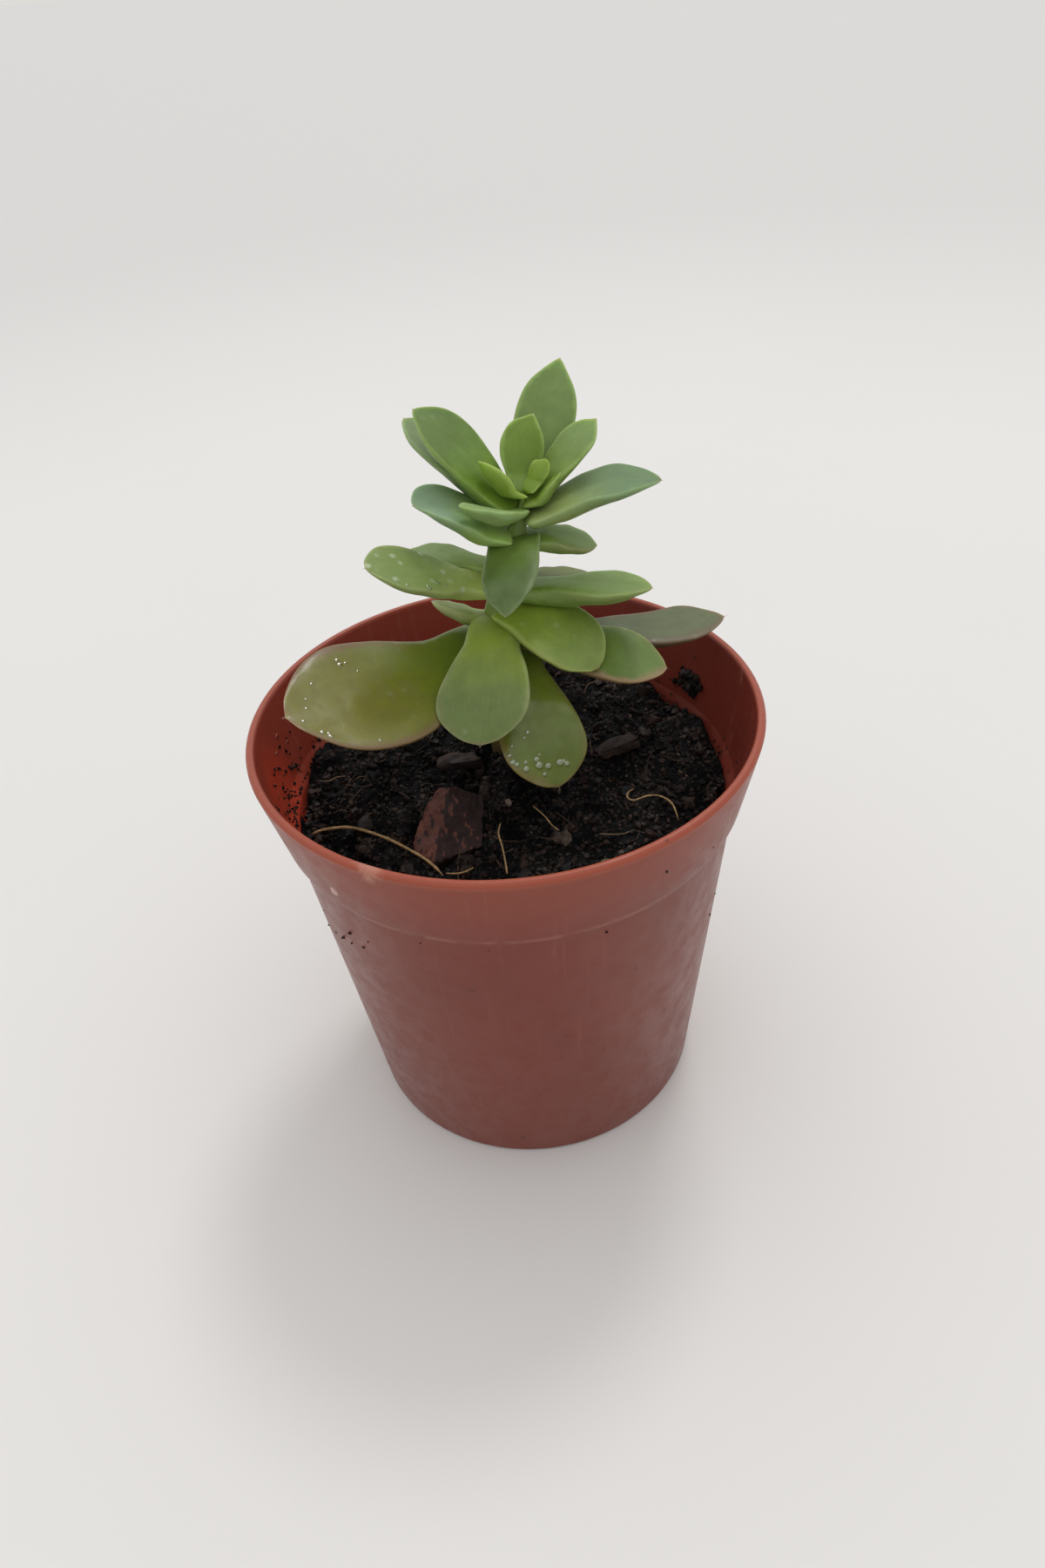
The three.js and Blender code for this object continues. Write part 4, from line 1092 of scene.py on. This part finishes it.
class SUCCULENT_OT_loose_dirt(bpy.types.Operator):
    """Stick crumbs to the pot's walls, inside and out, and drop one pale grain on the soil"""

    bl_idname = "succulent.loose_dirt"
    bl_label = "Loose dirt"

    def execute(self, context):
        pot, soil = settings().pot, settings().soil
        draw = random.Random(soil.seed + 2)
        collar = POT_HIGH.z - pot.collar_depth
        places = []

        def inner(height):
            if height > collar:
                slope = (height - collar) / pot.collar_depth
                return pot.collar_foot + (POT_HIGH.x - pot.collar_foot) * slope - pot.wall
            slope = (height - collar + pot.step) / pot.step
            return pot.body_top + (pot.collar_foot - pot.body_top) * slope - pot.wall

        def stick(degrees, height, size):
            angle, reach = math.radians(degrees), inner(height) - 0.3 * size
            point = Vector((reach * math.cos(angle), reach * math.sin(angle), height))
            places.append((point, size, draw.random() * 0.9))

        for _ in range(230):
            low = (40.9 + 5.5 * draw.random() ** 2.4) * MM
            stick(draw.gauss(185, 26), low, draw.uniform(0.08, 0.26) * MM)
        for _ in range(150):
            degrees, height = draw.uniform(0, 360), (41.0 + 3.5 * draw.random() ** 2.2) * MM
            stick(degrees, height, draw.uniform(0.07, 0.2) * MM)
        for _ in range(1500):
            degrees = draw.uniform(0, 360)
            reach, size = draw.uniform(21.9, 24.3) * MM, draw.uniform(0.12, 0.48) * MM
            angle = math.radians(degrees)
            rise = 1.1 * smooth_step(math.cos(angle), -0.8, 0.3)
            height = (40.3 + rise * draw.random()) * MM
            if reach + size < inner(height) - 0.1 * MM:
                places.append((Vector((reach * math.cos(angle), reach * math.sin(angle), height)), size,
                               draw.random() * 0.97))
        for _ in range(46):
            stick(draw.gauss(28, 2.2), (43.2 + 2.2 * draw.random()) * MM, draw.uniform(0.25, 0.7) * MM)
        for _ in range(22):
            stick(draw.gauss(-12, 5), (44.5 + 5.5 * draw.random()) * MM, draw.uniform(0.05, 0.13) * MM)
        for degrees, height, size in OUTER_DIRT:
            reach = pot.foot + (pot.body_top - pot.foot) * height / (collar - pot.step) * MM
            if height * MM > collar:
                reach = inner(height * MM) + pot.wall
            angle = math.radians(degrees)
            point = Vector((reach * math.cos(angle), reach * math.sin(angle), height * MM))
            places.append((point, size * MM, 0.3))
        material = bpy.data.materials["crumb_finish"]
        shapes = crumb_shapes(draw, DIRT_KINDS, 1, 0.6)
        scatter("visual_wall_dirt", draw, shapes, places, material)
        bead = bmesh.new()
        bmesh.ops.create_uvsphere(bead, u_segments=24, v_segments=16, radius=0.45 * MM)
        spot = Vector((-0.5, -4.4, 0)) * MM
        spot.z = bed_height(bed_tree(), spot.x, spot.y) + 0.3 * MM
        for vert in bead.verts:
            vert.co = vert.co * (1 + 0.08 * noise.noise(vert.co * 3000)) + spot
        pale = finish_with("pale_grain_finish", "damp_earth", {
            "Dark": ink(128, 116, 100), "Brown": ink(178, 166, 148), "Pale": ink(205, 196, 180),
            "Lightness": 1.0, "Wet": 0.4}, {}, 0.4, 0.08 * MM)
        make_piece("visual_pale_grain", bead, None, pale)
        return {"FINISHED"}


# --------------------------------------------------------------------------------------- water

# Beads of water on leaves: how far along, how far across from one margin to the other, size in mm.
BEADS = {
    "low_leaf_front_right": (
        (0.73, 0.92, 0.22), (0.77, 0.92, 0.3), (0.797, 0.87, 0.26), (0.817, 0.74, 0.34),
        (0.797, 0.58, 0.22), (0.797, 0.38, 0.3), (0.817, 0.28, 0.42), (0.836, 0.06, 0.36),
        (0.836, -0.17, 0.4), (0.836, -0.28, 0.26),
        (0.604, 0.38, 0.24), (0.657, 0.48, 0.16), (0.754, 0.17, 0.15), (0.86, -0.45, 0.3), (0.88, 0.3, 0.24),
        (0.683, 0.8, 0.16)),
    "low_leaf_left": (
        (0.657, -0.74, 0.26), (0.657, -0.6, 0.3), (0.63, -0.58, 0.22), (0.894, 0.67, 0.28),
        (0.875, 0.74, 0.24), (0.856, 0.81, 0.3), (0.856, -0.38, 0.16), (0.894, -0.06, 0.18),
        (0.603, -0.48, 0.15), (0.684, 0.87, 0.2),
        (0.817, -0.55, 0.2), (0.93, 0.3, 0.22)),
    "mid_leaf_left": (
        (0.836, 0.67, 0.17), (0.754, 0.87, 0.2), (0.603, 0.87, 0.34), (0.516, 0.58, 0.3), (0.454, 0.67, 0.2)),
}
# Drops on the pot's wall: degrees round, height and size in mm. Those at the back are on its inside.
WALL_DROPS = ((227.4, 44.6, 0.55), (171.5, 47.2, 0.4), (175.5, 46.2, 0.28), (168.0, 45.4, 0.3))


def water_finish(name, colour):
    """A coated finish in the colour under the water, with sharp glints."""
    material = bpy.data.materials.new(name)
    material.use_nodes = True
    wiring = Wiring(material.node_tree)
    principled = material.node_tree.nodes["Principled BSDF"]
    for label, value in {"Roughness": 0.12, "Specular IOR Level": 0.8, "Coat Weight": 1.0, "Coat IOR": 2.2,
                         "Coat Roughness": 0.04}.items():
        principled.inputs[label].default_value = value
    ripple = wiring.noise(wiring.place(), 1800, 2, 0.4)
    full, deep = ink(*colour), (*(0.8 * c for c in ink(*colour)[:3]), 1)
    tint = wiring.mix(wiring.step(ripple, 0.3, 0.7), deep, full)
    material.node_tree.links.new(tint, principled.inputs["Base Color"])
    bumps = wiring.add("ShaderNodeBump", {"Height": ripple, "Strength": 0.1, "Distance": 0.02 * MM})
    material.node_tree.links.new(bumps.outputs[0], principled.inputs["Normal"])
    return material


def add_bead(mesh, point, normal, size):
    """Adds a flattened bead of water, half sunk at a point of a surface."""
    turn = normal.to_track_quat("Z", "Y").to_matrix().to_4x4()
    place = Matrix.Translation(point) @ turn @ Matrix.Diagonal((size, size, size * BEAD_FLATNESS, 1))
    bmesh.ops.create_uvsphere(mesh, u_segments=20, v_segments=12, radius=1, matrix=place)


class SUCCULENT_OT_water(bpy.types.Operator):
    """Set small beads of water on the wet leaves and on the pot"""

    bl_idname = "succulent.water"
    bl_label = "Water"

    def execute(self, context):
        for node, beads in BEADS.items():
            leaf = bpy.data.objects["visual_" + node].data
            facts = {key: [v.value for v in leaf.attributes[key].data]
                     for key in ("along", "across", "upper")}
            mesh = bmesh.new()
            for along, across, size in beads:
                best = min(range(len(leaf.vertices)), key=lambda i: (
                    (facts["along"][i] - along) ** 2 + (facts["across"][i] - across) ** 2
                    + (facts["upper"][i] < 0.5)))
                vert = leaf.vertices[best]
                add_bead(mesh, vert.co, vert.normal, size * MM)
            film = water_finish("beads_on_" + node, LEAF_LOOKS[node]["blade"])
            make_piece("visual_beads_" + node, mesh, None, film)
        pot = settings().pot
        mesh = bmesh.new()
        for degrees, height, size in WALL_DROPS:
            share = (height * MM - POT_HIGH.z + pot.collar_depth) / pot.collar_depth
            reach = pot.collar_foot + (POT_HIGH.x - pot.collar_foot) * share
            outward = Vector((math.cos(math.radians(degrees)), math.sin(math.radians(degrees)), 0))
            inside = degrees < 180
            point = outward * (reach - (pot.wall if inside else 0)) + UP * height * MM
            add_bead(mesh, point, -outward if inside else outward, size * MM)
        film = water_finish("wall_water", (164, 72, 48))
        make_piece("visual_wall_drops", mesh, None, film)
        return {"FINISHED"}


# --------------------------------------------------------------------------------------- stem


class SUCCULENT_OT_stem(bpy.types.Operator):
    """Grow the fleshy stem with its leaf scars"""

    bl_idname = "succulent.stem"
    bl_label = "Stem"

    def execute(self, context):
        last, sides = len(STEM_RINGS) - 1, len(STEM_RINGS[0])
        mesh = bmesh.new()
        bmesh.ops.create_uvsphere(mesh, u_segments=48, v_segments=150, radius=1)
        layers = {key: mesh.verts.layers.float.new(key) for key in ("along", "rim", "across", "upper")}
        for vert in mesh.verts:
            level = math.acos(max(-1.0, min(1.0, -vert.co.z))) / math.pi * last
            turn = math.atan2(vert.co.y, vert.co.x) / math.tau * sides
            point = on_surface(STEM_RINGS, level, turn)
            outward = point - stem_axis(point.z)
            if outward.length > MERGE:
                scar = max(0.0, 0.3 - noise.voronoi(point * 330)[0][0])
                bump = noise.fractal(point * 500, 0.8, 2, 4) * 0.12 - scar * 0.6
                point += outward.normalized() * bump * MM
            vert.co = point
            vert[layers["along"]] = level / last
            vert[layers["rim"]] = 3
            vert[layers["upper"]] = 1
        bmesh.ops.recalc_face_normals(mesh, faces=mesh.faces)
        material = finish_with("stem_finish", "leaf_skin", {
            "Root": ink(96, 74, 52), "Blade": ink(132, 156, 62), "Bloom": 0.1, "Bloom Start": 0.5,
            "Edge": ink(160, 160, 110), "Tip": ink(128, 152, 60), "Tip Share": 0.1, "Dust": 0.1,
        }, {"Subsurface Weight": 0.2, "Subsurface Radius": FLESH_RADII, "Subsurface Scale": 0.8 * MM},
            0.5, 0.1 * MM)
        make_piece("visual_stem", mesh, "stem", material)
        roots = bmesh.new()
        for points in ROOTLETS:
            spin_thread(roots, [Vector(point) * MM for point in points], 0.1 * MM, 0.3, 30)
        dark = finish_with("rootlet_finish", "damp_earth", {
            "Dark": ink(40, 30, 24), "Brown": ink(88, 62, 46), "Pale": ink(120, 96, 76), "Lightness": 1.0,
        }, {}, 0.3, 0.05 * MM)
        make_piece("visual_rootlets", roots, None, dark)
        return {"FINISHED"}


# -------------------------------------------------------------------------------------- leaves


class SUCCULENT_OT_low_leaves(bpy.types.Operator):
    """Shape the six large leaves that spread low over the pot"""

    bl_idname = "succulent.low_leaves"
    bl_label = "Low leaves"

    def execute(self, context):
        make_leaves(LOW_LEAVES)
        return {"FINISHED"}


class SUCCULENT_OT_middle_leaves(bpy.types.Operator):
    """Shape the leaves along the middle of the stem"""

    bl_idname = "succulent.middle_leaves"
    bl_label = "Middle leaves"

    def execute(self, context):
        make_leaves(MIDDLE_LEAVES)
        return {"FINISHED"}


class SUCCULENT_OT_crown_leaves(bpy.types.Operator):
    """Shape the crown's leaves and the buds at its centre"""

    bl_idname = "succulent.crown_leaves"
    bl_label = "Crown leaves"

    def execute(self, context):
        make_leaves(CROWN_LEAVES)
        return {"FINISHED"}


# -------------------------------------------------------------------------------------- debris


def roughen(node, halvings, rounds, softened=2):
    """A packed chip with finer faces, pushed in and out by layers of noise."""
    mesh = merged(node)
    for _ in range(halvings):
        bmesh.ops.subdivide_edges(mesh, edges=mesh.edges, cuts=1, use_grid_fill=True)
    for _ in range(softened):
        bmesh.ops.smooth_vert(mesh, verts=mesh.verts, factor=0.5, use_axis_x=True, use_axis_y=True,
                              use_axis_z=True)
    mesh.normal_update()
    for vert in mesh.verts:
        push = sum(noise.noise(Vector(vert.co) * scale) * depth for scale, depth in rounds)
        vert.co += vert.normal * push * MM
    bmesh.ops.recalc_face_normals(mesh, faces=mesh.faces)
    return mesh


class SUCCULENT_OT_bark(bpy.types.Operator):
    """Break up the bark chip and the two splinters lying in the soil"""

    bl_idname = "succulent.bark"
    bl_label = "Bark"

    def execute(self, context):
        chip = finish_with("bark_finish", "wood_grain", {}, {}, 0.9, 0.3 * MM)
        splinter = finish_with("splinter_finish", "wood_grain", {
            "Dark": ink(14, 10, 9), "Mid": ink(44, 30, 24), "Pale": ink(104, 78, 58), "Layers": 3200.0},
            {}, 0.9, 0.2 * MM)
        mesh = roughen("bark_chip", 5, ((260, 0.3), (900, 0.28), (2400, 0.14)), 1)
        side_shade = mesh.verts.layers.float.new("side_shade")
        # Painted shade: faces turned towards +x are marked to be darkened, as if in shadow.
        for vert in mesh.verts:
            vert[side_shade] = smooth_step(vert.normal.x, -0.14, 0.06)
        make_piece("visual_bark_chip", mesh, "bark_chip", chip)
        for node in ("bark_sliver_left", "bark_sliver_right"):
            mesh = roughen(node, 3, ((700, 0.2), (2000, 0.08)))
            make_piece("visual_" + node, mesh, node, splinter)
        return {"FINISHED"}


class SUCCULENT_OT_perlite(bpy.types.Operator):
    """Puff up the two perlite grains"""

    bl_idname = "succulent.perlite"
    bl_label = "Perlite"

    def execute(self, context):
        for node, dark, pale in (("perlite_left", (120, 118, 108), (178, 176, 164)),
                                 ("perlite_front", (100, 90, 60), (160, 150, 110))):
            material = finish_with(node + "_finish", "damp_earth", {
                "Dark": ink(*dark), "Brown": ink(*pale), "Pale": ink(214, 210, 196), "Wet": 0.2,
            }, {}, 0.6, 0.15 * MM)
            mesh = roughen(node, 3, ((900, 0.22), (2400, 0.1)))
            make_piece("visual_" + node, mesh, node, material)
        return {"FINISHED"}


# --------------------------------------------------------------------------------------- stage


# The camera stands at its distance from a point just above the lip, moved to one side and down.
AIM_POINT, SHIFT_RIGHT, SHIFT_DOWN = Vector((0, 0, POT_HIGH.z + 0.31 * MM)), 2.054 * MM, 8.453 * MM
SHADE_REACH, SHADE = 0.55, 0.86  # painted shade: past this many metres from the pot the paper is darkened to this share


class SUCCULENT_OT_stage(bpy.types.Operator):
    """Lay the paper floor and set the camera and the soft light"""

    bl_idname = "succulent.stage"
    bl_label = "Stage"

    def execute(self, context):
        stage, scene = settings().stage, context.scene
        mesh = bmesh.new()
        bmesh.ops.create_grid(mesh, x_segments=8, y_segments=8, size=6)
        data = bpy.data.meshes.new("paper_floor")
        mesh.to_mesh(data)
        mesh.free()
        floor = bpy.data.objects.new("paper_floor", data)
        scene.collection.objects.link(floor)
        data.materials.append(self.paper(stage))

        for name, strength, spread, turn in (("soft_lamp", stage.sun, 115, (-9, -3, 0)),
                                             ("window_lamp", stage.window, 14, (-26, 13, 0))):
            lamp = bpy.data.lights.new(name, "SUN")
            lamp.energy, lamp.angle = strength, math.radians(spread)
            holder = bpy.data.objects.new(name, lamp)
            holder.rotation_euler = [math.radians(degrees) for degrees in turn]
            scene.collection.objects.link(holder)
        world = bpy.data.worlds.new("studio")
        world.use_nodes = True
        wiring = Wiring(world.node_tree)
        sight = wiring.add("ShaderNodeLightPath").outputs["Is Camera Ray"]
        fill = (*(stage.fill * c for c in ink(244, 246, 250)[:3]), 1)
        sky = wiring.mix(sight, fill, (*stage.backdrop, 1))
        world.node_tree.links.new(sky, world.node_tree.nodes["Background"].inputs["Color"])
        scene.world = world

        camera = bpy.data.cameras.new("camera")
        camera.lens, camera.sensor_width, camera.sensor_fit = stage.lens, 36, "AUTO"
        camera.clip_start, camera.clip_end = 1 * MM, 50
        holder = bpy.data.objects.new("camera", camera)
        scene.collection.objects.link(holder)
        aim = Matrix.Rotation(math.pi / 2 - stage.elevation, 4, "X") @ Matrix.Rotation(stage.roll, 4, "Z")
        right, up, back = (aim.col[i].to_3d() for i in range(3))
        spot = AIM_POINT + back * stage.distance + right * SHIFT_RIGHT - up * SHIFT_DOWN
        holder.matrix_world = Matrix.Translation(spot) @ aim
        scene.camera = holder
        scene.view_settings.view_transform = "Standard"
        return {"FINISHED"}

    @staticmethod
    def paper(stage):
        material = bpy.data.materials.new("paper")
        material.use_nodes = True
        wiring = Wiring(material.node_tree)
        place = wiring.place()
        shade = wiring.step(wiring.noise(place, 9, 4, 0.6), 0.3, 0.7)
        # Painted shade: the paper darkens away from the pot, standing in for the fall of the light.
        near = wiring.near(place, (0, 0, 0), SHADE_REACH)
        paper, mottled, shaded = (
            (*(share * c for c in stage.floor_colour), 1) for share in (1, 0.985, SHADE))
        colour = wiring.mix(near, shaded, wiring.mix(shade, paper, mottled))
        principled = material.node_tree.nodes["Principled BSDF"]
        material.node_tree.links.new(colour, principled.inputs["Base Color"])
        principled.inputs["Roughness"].default_value = 0.7
        return material


# ------------------------------------------------------------------------------ panel and running


STEPS = ("stage", "pot", "soil", "crumbs", "fibres", "loose_dirt", "stem", "low_leaves", "middle_leaves",
         "crown_leaves", "bark", "perlite", "water")


class SUCCULENT_PT_panel(bpy.types.Panel):
    bl_idname = "SUCCULENT_PT_panel"
    bl_label = "Succulent"
    bl_space_type = "VIEW_3D"
    bl_region_type = "UI"
    bl_category = "Succulent"

    def draw(self, context):
        for step in STEPS:
            self.layout.operator("succulent." + step)
        for group in (settings().pot, settings().leaves, settings().soil, settings().stage):
            box = self.layout.box()
            for key in group.__annotations__:
                box.prop(group, key)


CLASSES = (
    PotSettings, LeafSettings, SoilSettings, StageSettings, SucculentSettings,
    SUCCULENT_OT_stage, SUCCULENT_OT_pot, SUCCULENT_OT_soil, SUCCULENT_OT_crumbs, SUCCULENT_OT_fibres,
    SUCCULENT_OT_loose_dirt, SUCCULENT_OT_water, SUCCULENT_OT_stem, SUCCULENT_OT_low_leaves,
    SUCCULENT_OT_middle_leaves, SUCCULENT_OT_crown_leaves, SUCCULENT_OT_bark, SUCCULENT_OT_perlite,
    SUCCULENT_PT_panel,
)


def register():
    for each in CLASSES:
        bpy.utils.register_class(each)
    bpy.types.Scene.succulent = bpy.props.PointerProperty(type=SucculentSettings)


def unregister():
    del bpy.types.Scene.succulent
    for each in reversed(CLASSES):
        bpy.utils.unregister_class(each)


def main():
    register()
    for make in (make_leaf_skin, make_earth, make_wood_grain, make_plastic):
        make()
    for step in STEPS:
        getattr(bpy.ops.succulent, step)()


if __name__ == "__main__":
    main()
